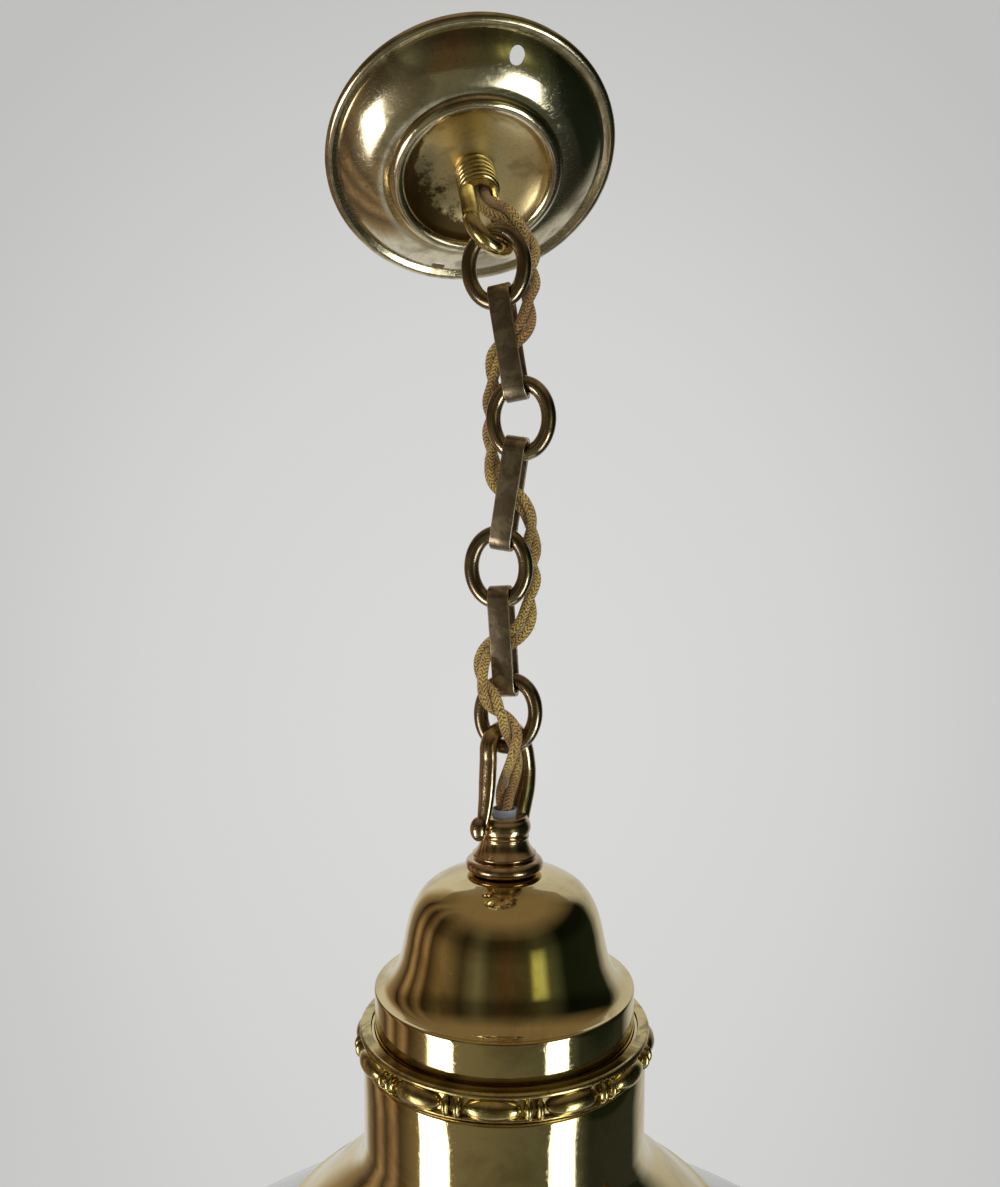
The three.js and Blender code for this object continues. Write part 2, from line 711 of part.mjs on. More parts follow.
// Lampholder: cap, core, shell and ring
const cap_top = tube_bottom + cap_height / 2;
const shell_top = cap_top - cap_height;
const shell_bottom = cap_top - holder_height;
const core_top = shell_top - gap;
const core_bottom = core_top - core_height;
const ledge_height = core_bottom - gap;
const bulb_top = core_bottom - bulb_travel * 2;
const pin_height = bulb_top - bulb_cap_height * 0.45;

function holder_cap() {
  const collar = tube_radius + gap;
  const shoulder = holder_radius * 0.8;
  return turned([
    [collar, cap_top], [collar + holder_wall * 2, cap_top], [collar + holder_wall * 2, cap_top - cap_height / 3],
    [shoulder, cap_top - cap_height * 0.5], [holder_radius, cap_top - cap_height * 0.8],
    [holder_radius, shell_top], [holder_radius - holder_wall, shell_top],
    [holder_radius - holder_wall, cap_top - cap_height * 0.8],
    [shoulder - holder_wall, cap_top - cap_height * 0.6], [collar, cap_top - cap_height * 0.5],
  ], small_round);
}
mesh('holder_cap', holder_cap(), brass, lamp);

function holder_core() {
  const holes = [-plunger_spread, plunger_spread].map((side) => {
    const hole = cylinder(plunger_radius + gap, core_bottom - overrun, core_top + overrun, 12);
    hole.translate(side, 0, 0);
    return hole;
  });
  return cut(cylinder(holder_radius - holder_wall - gap, core_bottom, core_top), ...holes);
}
mesh('holder_core', holder_core(), dark_plastic, lamp);

function holder_shell() {
  const top = shell_top - gap;
  const barrel = turned([
    [holder_radius - holder_wall, top], [holder_radius, top], [holder_radius, ledge_height - holder_wall],
    [holder_barrel + holder_wall, ledge_height - holder_wall * 2], [holder_barrel + holder_wall, shell_bottom],
    [holder_barrel, shell_bottom], [holder_barrel, ledge_height], [holder_radius - holder_wall, ledge_height],
  ], small_round);
  const slot = new THREE.BoxGeometry(holder_barrel * 4, slot_width, bulb_travel + slot_width);
  slot.translate(0, 0, pin_height + bulb_travel / 2);
  return cut(barrel, slot);
}
mesh('holder_shell', holder_shell(), brass, lamp);

const ring_top = ledge_height - holder_wall * 2 - gap;
mesh('holder_ring', washer(ring_nut_radius, holder_barrel + holder_wall + gap, ring_top - ring_nut_height,
  ring_top), dark_plastic, lamp);

[-plunger_spread, plunger_spread].forEach((side, i) => {
  const plunger = cylinder(plunger_radius, bulb_top + gap, bulb_top + gap + plunger_length, 12);
  mesh(`plunger_${i + 1}`, plunger, brass, lamp).position.x = side;
});

// Bulb: a bayonet cap with two pins, and a pear-shaped glass
function bulb_cap() {
  const pins = cylinder(pin_radius, -holder_barrel, holder_barrel, 8);
  pins.rotateY(right_angle);
  pins.translate(0, 0, pin_height);
  return joined(cylinder(bulb_cap_radius, bulb_top - bulb_cap_height, bulb_top), pins);
}
mesh('bulb_cap', bulb_cap(), brass, lamp);

function bulb_glass() {
  const top = bulb_top - bulb_cap_height - gap;
  const bulb_shares = [
    [0, 0], [0.33, 0], [0.36, 0.16], [0.55, 0.3], [0.82, 0.42], [0.98, 0.56], [1, 0.66],
    [0.9, 0.82], [0.62, 0.94], [0.3, 0.99], [0, 1],
  ];
  return turned(bulb_shares.map(([r, z]) => [bulb_radius * r, top - bulb_length * z]), small_round);
}
mesh('bulb_glass', bulb_glass(), clear_glass, lamp);

// Flex: two cores wound round each other, threaded through the straps and down into the base
const flex_route = [
  [-5, 8.4, 249.8], [1.2, 5.2, 246.6], [7, 5.6, 242.3], [11, 6.3, 236], [12.3, 6, 227.3],
  [11, 5.5, 218.3], [9, 2.2, 209], [6.4, -0.8, 203.5], [1.6, -0.4, 199.3], [-3, 0.8, 195],
  [-5.2, 3.4, 189], [-5.8, 6.4, 182], [-6.7, 8.6, 176], [-6.9, 8.8, 169.4], [-6.2, 6.6, 161.5],
  [-5.2, 3.4, 154.5], [-3.2, 1.2, 148.8], [1.9, -0.5, 144.3], [6.8, -1.2, 140.4], [10.4, 0.9, 136.2],
  [12.4, 5, 128.5], [12.8, 6.5, 122], [12.8, 6.4, 112.6], [11, 4.5, 104.2], [9.6, 1.4, 97],
  [6, -0.6, 92.4], [0.5, -0.2, 88.6], [-5.6, 1.3, 86.3], [-9, -1.1, 82.7], [-9.4, -5.4, 77.8],
  [-7.4, -8.4, 72], [-3.5, -9.2, 65.5], [1.5, -8.9, 60], [4.6, -8.7, 54.6], [6, -8.6, 46.9],
  [5, -5.5, 41.1], [2.6, -2.2, 35.3], [0.5, -0.3, 30.6], [0, 0, 27], [0, 0, 14], [0, 0, -20], [0, 0, -74],
].map((point) => new THREE.Vector3(...point));

const flex_line = new THREE.CatmullRomCurve3([
  ...[tail_top - 2 * core_radius, (stem_top + stem_end) / 2, stem_end - core_radius].map(
    (depth) => new THREE.Vector3(0, 0, depth).applyMatrix4(rose.matrixWorld),
  ),
  ...flex_route.map((point) => point.add(lamp.position)),
], false, 'centripetal');
const pair_level = chain.position.z + straps[0].position.z;

function flex_core(side) {
  const steps = 96;
  const wound = Array.from({ length: steps + 1 }, (_, i) => {
    const centre = flex_line.getPointAt(i / steps);
    const along = flex_line.getTangentAt(i / steps);
    const level = (pair_level - centre.z) / ring_pitch;
    const turn = Math.PI * strap_half_turns * level - strap_ease_share * Math.sin(full_turn * level);
    const across = beside.clone().projectOnPlane(along).normalize();
    const out = across.clone().applyAxisAngle(along, turn);
    return centre.addScaledVector(out, side * core_spread);
  });
  const loose = [
    [terminal_reach - terminal_head_radius, terminal_spread, terminal_height],
    [block_start - terminal_bore, terminal_spread, terminal_height + gap],
    [rose_nut_radius + conductor_radius, terminal_spread * 0.8, rose_nut_top + conductor_radius + gap],
    [tail_radius, terminal_spread * 0.55, tail_top + conductor_radius + gap * 4],
    [tail_radius * 0.28, core_spread, tail_top - gap],
  ].map(([x, y, z]) => new THREE.Vector3(x, side * y, z).applyMatrix4(block.matrixWorld));
  const radii = [...loose.map(() => conductor_radius), ...wound.map(() => core_radius)];
  return rod([...loose, ...wound], radii, steps + 14, 6);
}

const light = new THREE.Group();
light.add(rose, chain, lamp);
mesh('flex_core_1', flex_core(1), cloth, light);
mesh('flex_core_2', flex_core(-1), cloth, light);

export default light;
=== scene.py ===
import json
import math
import random

import bpy
from mathutils import Matrix, Vector


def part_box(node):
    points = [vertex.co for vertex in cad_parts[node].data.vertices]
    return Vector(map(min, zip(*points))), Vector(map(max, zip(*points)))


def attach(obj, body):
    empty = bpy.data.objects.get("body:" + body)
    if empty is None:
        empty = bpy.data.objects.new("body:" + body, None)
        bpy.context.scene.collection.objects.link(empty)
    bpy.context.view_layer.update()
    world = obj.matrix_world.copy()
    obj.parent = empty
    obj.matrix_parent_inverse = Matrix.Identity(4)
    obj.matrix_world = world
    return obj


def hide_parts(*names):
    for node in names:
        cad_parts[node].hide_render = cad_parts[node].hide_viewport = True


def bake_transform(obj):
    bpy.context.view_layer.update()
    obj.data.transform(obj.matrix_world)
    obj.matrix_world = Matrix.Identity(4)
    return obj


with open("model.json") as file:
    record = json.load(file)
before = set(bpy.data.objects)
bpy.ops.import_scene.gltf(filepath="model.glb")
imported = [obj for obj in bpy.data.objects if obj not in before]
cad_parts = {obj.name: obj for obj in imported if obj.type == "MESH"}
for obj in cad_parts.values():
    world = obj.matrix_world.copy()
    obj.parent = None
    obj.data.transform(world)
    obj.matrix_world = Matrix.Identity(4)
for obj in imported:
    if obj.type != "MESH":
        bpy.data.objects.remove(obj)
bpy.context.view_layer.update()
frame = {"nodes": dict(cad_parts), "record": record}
bpy.ops.object.select_all(action="DESELECT")

# Camera: it stands in front of the light, a little below the middle of the chain, and looks
# slightly down, as in the photograph.
camera_place = (0.0113, -0.4448, -0.1328)
camera_pitch = math.radians(5.05)
focal_pixels = 1100
image_height = 1187
camera_data = bpy.data.cameras.new("camera")
camera_data.sensor_width = 36
camera_data.lens = focal_pixels / image_height * camera_data.sensor_width
camera_data.clip_start = 0.01
camera = bpy.data.objects.new("camera", camera_data)
camera.location = camera_place
camera.rotation_euler = (math.pi / 2 - camera_pitch, 0, 0)
bpy.context.scene.collection.objects.link(camera)
bpy.context.scene.camera = camera
bpy.context.scene.view_settings.view_transform = "Standard"


# Studio: a room that is pale behind the light and dim behind the camera, two tall soft boxes in
# front, a soft top light, and a pale floor that takes the shadow. It curves up into a backdrop
# with painted light: lighter behind the lamp and darker in a band round that.
def feed(tree, made, values):
    """Gives inputs to a node of the tree, each a socket to link or a value."""
    for name, value in values.items():
        if isinstance(value, bpy.types.NodeSocket):
            tree.links.new(value, made.inputs[name])
        else:
            made.inputs[name].default_value = value


def node(tree, kind, values=None, **settings):
    made = tree.nodes.new(kind)
    for name, value in settings.items():
        setattr(made, name, value)
    feed(tree, made, values or {})
    return made


def ramp(tree, factor, stops):
    made = node(tree, "ShaderNodeValToRGB", {"Fac": factor})
    elements = made.color_ramp.elements
    while len(elements) < len(stops):
        elements.new(0.5)
    for element, (position, colour) in zip(elements, stops):
        element.position = position
        element.color = (*colour, 1)
    return made.outputs["Color"]


def math_node(tree, operation, a, b=0.0):
    return node(tree, "ShaderNodeMath", {0: a, 1: b}, operation=operation).outputs[0]


def vector_node(tree, operation, a, b=(0, 0, 0)):
    made = node(tree, "ShaderNodeVectorMath", {0: a, 1: b}, operation=operation)
    return made.outputs["Value" if operation == "LENGTH" else "Vector"]


def mix(tree, factor, first, second):
    """Mixes two colours, each a socket or three numbers."""
    colours = {}
    for place, colour in ((6, first), (7, second)):
        colours[place] = colour if isinstance(colour, bpy.types.NodeSocket) else (*colour, 1)
    return node(tree, "ShaderNodeMix", {"Factor": factor, **colours}, data_type="RGBA").outputs[2]


def parts_of(tree, place):
    return node(tree, "ShaderNodeSeparateXYZ", {"Vector": place}).outputs


def from_axis(tree, parts):
    """How far a place is from the Z axis."""
    flat = node(tree, "ShaderNodeCombineXYZ", {"X": parts["X"], "Y": parts["Y"]})
    return vector_node(tree, "LENGTH", flat.outputs[0])


def share_round(tree, parts):
    """Where a place is round the Z axis, from 0 to 1, with 0.5 in front."""
    turn = math_node(tree, "ARCTAN2", parts["X"], math_node(tree, "MULTIPLY", parts["Y"], -1.0))
    return math_node(tree, "ADD", math_node(tree, "DIVIDE", turn, 2 * math.pi), 0.5)


black = (0, 0, 0)
white = (1, 1, 1)
pale_wall = (0.66, 0.66, 0.655)
wall_seen = (0.631, 0.637, 0.631)
ceiling_tone = (0.21, 0.155, 0.09)
fill_tone = (0.42, 0.42, 0.41)
world = bpy.data.worlds.new("room")
bpy.context.scene.world = world
world.use_nodes = True
room = world.node_tree
room.nodes.clear()
sides = parts_of(room, node(room, "ShaderNodeTexCoord").outputs["Generated"])
round_room = share_round(room, sides)
room_tones = [
    (0.0, pale_wall), (0.08, pale_wall), (0.11, (0.30, 0.22, 0.13)), (0.15, (0.05, 0.03, 0.018)),
    (0.175, (0.40, 0.27, 0.15)), (0.20, (0.045, 0.03, 0.016)), (0.23, (0.33, 0.22, 0.12)),
    (0.25, (0.05, 0.032, 0.018)), (0.30, (0.20, 0.145, 0.07)), (0.37, (0.05, 0.038, 0.02)),
    (0.42, (0.15, 0.14, 0.085)), (0.455, (0.06, 0.055, 0.03)), (0.5, (0.085, 0.05, 0.024)),
    (0.56, (0.06, 0.055, 0.028)), (0.61, (0.11, 0.105, 0.05)), (0.66, (0.05, 0.058, 0.032)),
    (0.69, (0.008, 0.012, 0.006)), (0.84, (0.012, 0.016, 0.010)), (0.89, (0.5, 0.5, 0.47)),
    (1.0, pale_wall),
]
walls = ramp(room, round_room, room_tones)
garden = ramp(room, round_room, [
    (0.575, black), (0.59, (0.42, 0.42, 0.12)), (0.615, (0.34, 0.37, 0.12)), (0.635, black),
])
height = node(room, "ShaderNodeMath", {
    0: sides["Z"], 1: 0.5, 2: 0.5}, operation="MULTIPLY_ADD").outputs[0]
level_share = ramp(room, height, [(0.42, black), (0.46, white), (0.55, white), (0.6, black)])
walls = vector_node(room, "ADD", walls, vector_node(room, "MULTIPLY", garden, level_share))
dim_share = ramp(room, height, [(0.5, white), (0.62, (0.45, 0.45, 0.45))])
walls = vector_node(room, "MULTIPLY", walls, dim_share)
ceiling_share = ramp(room, height, [(0.72, black), (0.93, white)])
closed_room = mix(room, ceiling_share, walls, ceiling_tone)
path = node(room, "ShaderNodeLightPath").outputs
filled = mix(room, path["Is Diffuse Ray"], closed_room, fill_tone)
seen = mix(room, path["Is Camera Ray"], filled, wall_seen)
light_out = node(room, "ShaderNodeBackground", {"Color": seen, "Strength": 1})
node(room, "ShaderNodeOutputWorld", {"Surface": light_out.outputs[0]})


def soft_box(name, azimuth, height, distance, width, length, power, colour=white):
    lamp = bpy.data.lights.new(name, "AREA")
    lamp.shape = "RECTANGLE"
    lamp.size = width
    lamp.size_y = length
    lamp.energy = power
    lamp.color = colour
    made = bpy.data.objects.new(name, lamp)
    turn = math.radians(azimuth)
    middle = Vector((0.013, -0.033, -0.3))
    away = Vector((math.sin(turn) * distance, -math.cos(turn) * distance, height))
    made.location = middle + away
    made.rotation_euler = (middle - made.location).to_track_quat("-Z", "Y").to_euler()
    bpy.context.scene.collection.objects.link(made)
    return made


soft_box("left_box", -56, -0.62, 1.2, 0.5, 0.8, 6, (1, 0.97, 0.9))
soft_box("right_box", 45, -0.62, 1.2, 0.42, 0.8, 5, (0.95, 1, 0.94))
top_box = soft_box("top_box", 0, 1.6, 0.6, 1.4, 1.4, 10)
top_box.visible_glossy = False

floor_size = 5
floor_drop = 1.6
wall_away = 1.9
wall_rise = 2.8
bend_radius = 0.6
bend_steps = 16
bpy.ops.mesh.primitive_plane_add(
    size=floor_size, location=(0, wall_away - bend_radius - floor_size / 2, -floor_drop))
floor = bpy.context.active_object
floor.name = "floor"
bpy.ops.object.transform_apply(location=True, rotation=False, scale=False)


def pick(piece, is_wanted):
    """Goes to edit mode with only those vertices selected whose place is wanted."""
    bpy.context.view_layer.objects.active = piece
    bpy.ops.object.mode_set(mode="EDIT")
    bpy.ops.mesh.select_mode(type="VERT")
    bpy.ops.mesh.select_all(action="DESELECT")
    bpy.ops.object.mode_set(mode="OBJECT")
    for vertex in piece.data.vertices:
        vertex.select = is_wanted(vertex.co)
    bpy.ops.object.mode_set(mode="EDIT")


pick(floor, lambda place: place.y > 0)
for i in range(bend_steps):
    low, high = (math.radians(90 * (i + k) / bend_steps) for k in (0, 1))
    step = (0, bend_radius * (math.sin(high) - math.sin(low)),
            bend_radius * (math.cos(low) - math.cos(high)))
    bpy.ops.mesh.extrude_region_move(TRANSFORM_OT_translate={"value": step})
bpy.ops.mesh.extrude_region_move(TRANSFORM_OT_translate={"value": (0, 0, wall_rise)})
bpy.ops.object.mode_set(mode="OBJECT")
bpy.ops.object.shade_smooth()
floor_paint = bpy.data.materials.new("pale_floor")
floor_paint.use_nodes = True
paint = floor_paint.node_tree
paint.nodes.clear()
matt = node(paint, "ShaderNodeBsdfDiffuse", {"Color": (0.6, 0.6, 0.6, 1)})
on_floor = node(paint, "ShaderNodeTexCoord").outputs["Object"]
along_floor = parts_of(paint, on_floor)
# Painted light on the backdrop: lighter in a pool behind the lamp, darker in a band round it, then
# the plain pale wall
spread = node(paint, "ShaderNodeMapping", {
    "Vector": on_floor, "Location": (0, 0, 0.18), "Scale": (0.33, 0, 0.28),
}, vector_type="POINT").outputs[0]
backdrop_painted_falloff = ramp(paint, vector_node(paint, "LENGTH", spread), [
    (0.0, (0.73, 0.725, 0.715)), (0.25, (0.675, 0.675, 0.67)), (0.5, (0.54, 0.54, 0.53)),
    (0.56, (0.54, 0.54, 0.53)), (0.68, pale_wall)])
backdrop_share = ramp(paint, along_floor["Y"], [(0.1, black), (0.8, white)])
wall_with_painted_falloff = mix(paint, backdrop_share, pale_wall, backdrop_painted_falloff)

# For glossy rays the floor glows with a painted reflection: the dim room, which brass mirrors, and
# a painted warmer pool of light close under the lamp
floor_tones = [tone for tone in room_tones if not 0.35 < tone[0] < 0.65] + [
    (0.40, (0.17, 0.15, 0.09)), (0.46, (0.15, 0.135, 0.08)), (0.5, (0.12, 0.11, 0.065)),
    (0.56, (0.10, 0.098, 0.058)), (0.61, (0.06, 0.06, 0.035))]
round_floor = ramp(paint, share_round(paint, along_floor), sorted(floor_tones))
painted_pool_share = ramp(paint, from_axis(paint, along_floor), [(0.2, white), (0.62, black)])
painted_reflection = mix(paint, painted_pool_share, round_floor, (0.42, 0.33, 0.21))
path = node(paint, "ShaderNodeLightPath").outputs
eye = path["Is Camera Ray"]
mirrored = math_node(paint, "MAXIMUM", path["Is Glossy Ray"], path["Is Transmission Ray"])
glow = node(paint, "ShaderNodeEmission", {"Color": mix(paint, eye, painted_reflection, wall_with_painted_falloff)})
glow_share = 0.94
share = math_node(paint, "MULTIPLY", math_node(paint, "MAXIMUM", eye, mirrored), glow_share)
floor_mix = node(paint, "ShaderNodeMixShader", {
    "Fac": share, 1: matt.outputs[0], 2: glow.outputs[0]})
node(paint, "ShaderNodeOutputMaterial", {"Surface": floor_mix.outputs[0]})
floor.data.materials.append(floor_paint)
bpy.ops.object.select_all(action="DESELECT")


# Rose cover: one brass spinning with a rolled rim, a round bead and a sunk middle. Its back rim
# lies on the ceiling, and two screws hold it through the holes in its dome.
def curve_through(points, steps):
    """A smooth line through points in a plane."""
    padded = [points[0], *points, points[-1]]
    line = []
    for a, b, c, d in zip(padded, padded[1:], padded[2:], padded[3:]):
        for i in range(steps):
            t = i / steps
            line.append(tuple(
                0.5 * (2 * q + (r - p) * t + (2 * p - 5 * q + 4 * r - s) * t ** 2
                       + (3 * q - p - 3 * r + s) * t ** 3)
                for p, q, r, s in zip(a, b, c, d)
            ))
    return line + [points[-1]]


def arc(r, z, radius, start, end, steps):
    """Points of an arc in a profile; angles in degrees, 0 outwards and 90 up."""
    turns = [math.radians(start + (end - start) * i / steps) for i in range(steps + 1)]
    return [(r + radius * math.cos(t), z + radius * math.sin(t)) for t in turns]


def behind(outline, wall):
    """The back of a sheet whose face is outline, from its end to its start."""
    back = []
    for i, (r, z) in enumerate(outline):
        before, after = outline[max(i - 1, 0)], outline[min(i + 1, len(outline) - 1)]
        share = wall / math.dist(before, after)
        back.append((r + (after[1] - before[1]) * share, z - (after[0] - before[0]) * share))
    return back[::-1]


def spun(name, outline, steps=144):
    """Turns a closed profile round Z, as on a lathe. Points on the axis close the shape there."""
    bpy.ops.mesh.primitive_plane_add(size=0.001)
    piece = bpy.context.active_object
    piece.name = piece.data.name = name
    bpy.ops.object.mode_set(mode="EDIT")
    bpy.ops.mesh.merge(type="CENTER")
    bpy.ops.transform.translate(value=(outline[0][0], 0, outline[0][1]))
    line = outline if outline[0][0] == 0 and outline[-1][0] == 0 else [*outline, outline[0]]
    for (r, z), (next_r, next_z) in zip(line, line[1:]):
        step = (next_r - r, 0, next_z - z)
        bpy.ops.mesh.extrude_region_move(TRANSFORM_OT_translate={"value": step})
    bpy.ops.mesh.select_all(action="SELECT")
    bpy.ops.mesh.spin(steps=steps, angle=2 * math.pi, center=(0, 0, 0), axis=(0, 0, 1))
    bpy.ops.mesh.select_all(action="SELECT")
    bpy.ops.mesh.remove_doubles(threshold=2e-6)
    bpy.ops.mesh.normals_make_consistent(inside=False)
    bpy.ops.object.mode_set(mode="OBJECT")
    bpy.ops.object.shade_smooth_by_angle(angle=math.radians(35))
    return piece


def settle(piece, place):
    """Puts a piece's place into its mesh, and its object at the origin."""
    bpy.ops.object.select_all(action="DESELECT")
    piece.select_set(True)
    bpy.context.view_layer.objects.active = piece
    piece.matrix_world = place
    bpy.ops.object.transform_apply(location=True, rotation=True, scale=True)
    bpy.ops.object.select_all(action="DESELECT")
    return piece


def finished(piece, material, slot, body, *nodes):
    """Gives a piece its finish and its body, and hides the CAD nodes that it stands for."""
    piece.data.materials.clear()
    piece.data.materials.append(material)
    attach(piece, body)
    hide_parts(*nodes)
    return piece


def repaint(names, material):
    """Gives a better material to CAD nodes whose shape stays as it is."""
    for name in names:
        frame["nodes"][name].material_slots[0].material = material


def noise(tree, place, scale, **settings):
    return node(tree, "ShaderNodeTexNoise", {
        "Vector": place, "Scale": scale, **settings}).outputs["Fac"]


def held(tree, value, low, high, to_low=0.0, to_high=1.0, **settings):
    """Maps low to high onto another range, and holds what lies outside at its ends."""
    return node(tree, "ShaderNodeMapRange", {
        "Value": value, "From Min": low, "From Max": high, "To Min": to_low, "To Max": to_high,
    }, **settings).outputs[0]


def bump(tree, height, strength, distance):
    return node(tree, "ShaderNodeBump", {
        "Height": height, "Strength": strength, "Distance": distance}).outputs[0]


def new_material(name):
    """A material, its node tree and its surface."""
    material = bpy.data.materials.new(name)
    material.use_nodes = True
    return material, material.node_tree, material.node_tree.nodes["Principled BSDF"]


def new_group(name, inputs, outputs):
    tree = bpy.data.node_groups.new(name, "ShaderNodeTree")
    for label, kind in inputs:
        tree.interface.new_socket(label, in_out="INPUT", socket_type="NodeSocket" + kind)
    for label in outputs:
        tree.interface.new_socket(label, in_out="OUTPUT", socket_type="NodeSocketFloat")
    return tree, node(tree, "NodeGroupInput").outputs


# Tarnish in clouds and in small spots, as a mask from 0, clean, to 1, dark
tarnish, given = new_group(
    "tarnish", [("Vector", "Vector"), ("Scale", "Float"), ("Cover", "Float")], ["Clouds", "Spots"])
cloud = noise(
    tarnish, given["Vector"], given["Scale"], Detail=8, Roughness=0.62, Distortion=0.6)
edge = math_node(tarnish, "SUBTRACT", 0.62, math_node(tarnish, "MULTIPLY", given["Cover"], 0.3))
clouds = held(
    tarnish, cloud, edge, math_node(tarnish, "ADD", edge, 0.2), interpolation_type="SMOOTHSTEP")
spot_scale = math_node(tarnish, "MULTIPLY", given["Scale"], 14.0)
speck = noise(tarnish, given["Vector"], spot_scale, Detail=3, Roughness=0.7)
node(tarnish, "NodeGroupOutput", {"Clouds": clouds, "Spots": held(tarnish, speck, 0.58, 0.72)})

# Fine marks of a lathe tool or a buffing wheel, which run round the Z axis of the vector
turning, given = new_group(
    "turning_marks", [("Vector", "Vector"), ("Scale", "Float")], ["Height"])
parts = parts_of(turning, given["Vector"])
around = math_node(turning, "ARCTAN2", parts["Y"], parts["X"])
unrolled = node(turning, "ShaderNodeCombineXYZ", {
    "X": math_node(turning, "MULTIPLY", around, 0.003), "Y": from_axis(turning, parts),
    "Z": parts["Z"]})
lines = noise(turning, unrolled.outputs[0], given["Scale"], Detail=4, Roughness=0.6)
node(turning, "NodeGroupOutput", {"Height": lines})

# Short scratches that cross each other, from handling and cleaning
scratches, given = new_group("scratches", [("Vector", "Vector"), ("Scale", "Float")], ["Height"])
crossing = []
for turn, stretch in [((0.3, 0.7, 0.4), 26), ((1.1, -0.5, 2.1), 20)]:
    laid = node(scratches, "ShaderNodeMapping", {
        "Vector": given["Vector"], "Rotation": turn, "Scale": (1, stretch, stretch)})
    grain = noise(scratches, laid.outputs[0], given["Scale"], Detail=3, Roughness=0.7)
    crossing.append(held(scratches, grain, 0.6, 0.7))
node(scratches, "NodeGroupOutput", {"Height": math_node(scratches, "MAXIMUM", *crossing)})


def metal(name, clean, dark, rough, cover=0.5, scale=60, place=None, marks=0.06, scratch=0.05,
          spots=0.4, stained=None):
    """Brass with tarnish, marks of its making, and scratches. place is the piece's own frame."""
    scratch_scale, lathe_scale = 90, 2600
    scuffing, pit_depth = 0.12, 0.12
    material, tree, surface = new_material(name)
    where = node(tree, "ShaderNodeTexCoord").outputs["Object"]
    if place is not None:
        where = node(tree, "ShaderNodeMapping", {
            "Vector": where, "Location": place.to_translation(), "Rotation": place.to_euler("XYZ"),
        }, vector_type="TEXTURE").outputs[0]
    stain = node(tree, "ShaderNodeGroup", {
        "Vector": where, "Scale": scale, "Cover": cover}, node_tree=tarnish)
    clouds = math_node(tree, "MULTIPLY", stain.outputs["Clouds"], cover)
    spotted = math_node(tree, "MULTIPLY", stain.outputs["Spots"], spots)
    cover_mask = math_node(tree, "MAXIMUM", clouds, spotted)
    if stained is not None:
        cover_mask = math_node(tree, "MAXIMUM", cover_mask, stained(tree, where))
    worn = node(tree, "ShaderNodeGroup", {
        "Vector": where, "Scale": scratch_scale}, node_tree=scratches).outputs["Height"]
    lathe = node(tree, "ShaderNodeGroup", {
        "Vector": where, "Scale": lathe_scale}, node_tree=turning).outputs["Height"]
    gloss = held(tree, cover_mask, 0, 1, *rough)
    relief = math_node(tree, "MULTIPLY", lathe, marks)
    relief = math_node(tree, "SUBTRACT", relief, math_node(tree, "MULTIPLY", worn, scratch))
    relief = math_node(tree, "SUBTRACT", relief, math_node(tree, "MULTIPLY", spotted, pit_depth))
    feed(tree, surface, {
        "Base Color": mix(tree, cover_mask, clean, dark), "Metallic": 1,
        "Roughness": math_node(tree, "ADD", math_node(tree, "MULTIPLY", worn, scuffing), gloss),
        "Normal": bump(tree, relief, 0.6, 0.0004)})
    return material


rose_side_tilt = math.radians(-11.5)
rose_back_tilt = math.radians(-39.7)
rose_frame = Matrix.Rotation(rose_side_tilt, 4, "Y") @ Matrix.Rotation(rose_back_tilt, 4, "X")
rose_radius = 0.057
rose_depth = 0.0142
rose_bead = 0.003
rose_bead_ring = 0.0306
rose_dish = 0.0095
rose_rim = 0.0042
rose_wall = 0.001
rose_face = [
    (0.0062, -rose_dish), (0.012, -rose_dish - 0.00004),
    *curve_through([
        (0.0150, -0.0096), (0.0185, -0.0101), (0.0218, -0.0109), (0.0244, -0.0120),
        (0.0262, -0.0130),
    ], 4),
    *arc(rose_bead_ring, -rose_depth, rose_bead, 195, 345, 16),
    *curve_through([
        (0.0339, -0.0138), (0.0366, -0.0135), (0.0402, -0.0124), (0.0441, -0.0104),
        (0.0475, -0.0080), (0.0504, -0.0053), (0.0523, -0.0032),
    ], 6),
]
rose_roll = rose_rim / 2
rim_face = arc(rose_radius - rose_roll, -rose_roll, rose_roll, -112, 90, 14)
rose_back = [(rose_radius - rose_rim - rose_wall, 0), *behind(rose_face, -rose_wall)]
rose_cover = spun("rose_spinning", [*rose_face, *rim_face, *rose_back])
rose_hole = 0.0029
rose_hole_ring = 0.0465
rose_hole_turn = -62
for turn in (math.radians(rose_hole_turn), math.radians(rose_hole_turn + 180)):
    bpy.ops.mesh.primitive_cylinder_add(
        vertices=32, radius=rose_hole, depth=0.04,
        location=(rose_hole_ring * math.cos(turn), rose_hole_ring * math.sin(turn), -0.008))
    drill = bpy.context.active_object
    drilled = rose_cover.modifiers.new("screw_hole", "BOOLEAN")
    drilled.operation = "DIFFERENCE"
    drilled.solver = "EXACT"
    drilled.object = drill
    bpy.context.view_layer.objects.active = rose_cover
    bpy.ops.object.modifier_apply(modifier="screw_hole")
    bpy.data.objects.remove(drill)
dish_edge = 0.0278
in_dish = [
    math.hypot(face.center.x, face.center.y) < dish_edge for face in rose_cover.data.polygons]
settle(rose_cover, rose_frame)


def dish_stain(tree, where):
    """A ragged dark stain over the left of the sunk middle and round its edge."""
    place = parts_of(tree, where)
    ragged = noise(tree, where, 160, Detail=9, Roughness=0.72)
    leftward = math_node(tree, "MULTIPLY", math_node(tree, "SUBTRACT", place["X"], math_node(
        tree, "MULTIPLY", place["Y"], 0.35)), -21.0)
    at_edge = held(tree, from_axis(tree, place), 0.0225, dish_edge, 0, 0.32)
    level = math_node(tree, "ADD", math_node(tree, "ADD", leftward, at_edge), ragged)
    return held(tree, level, 0.83, 0.95)


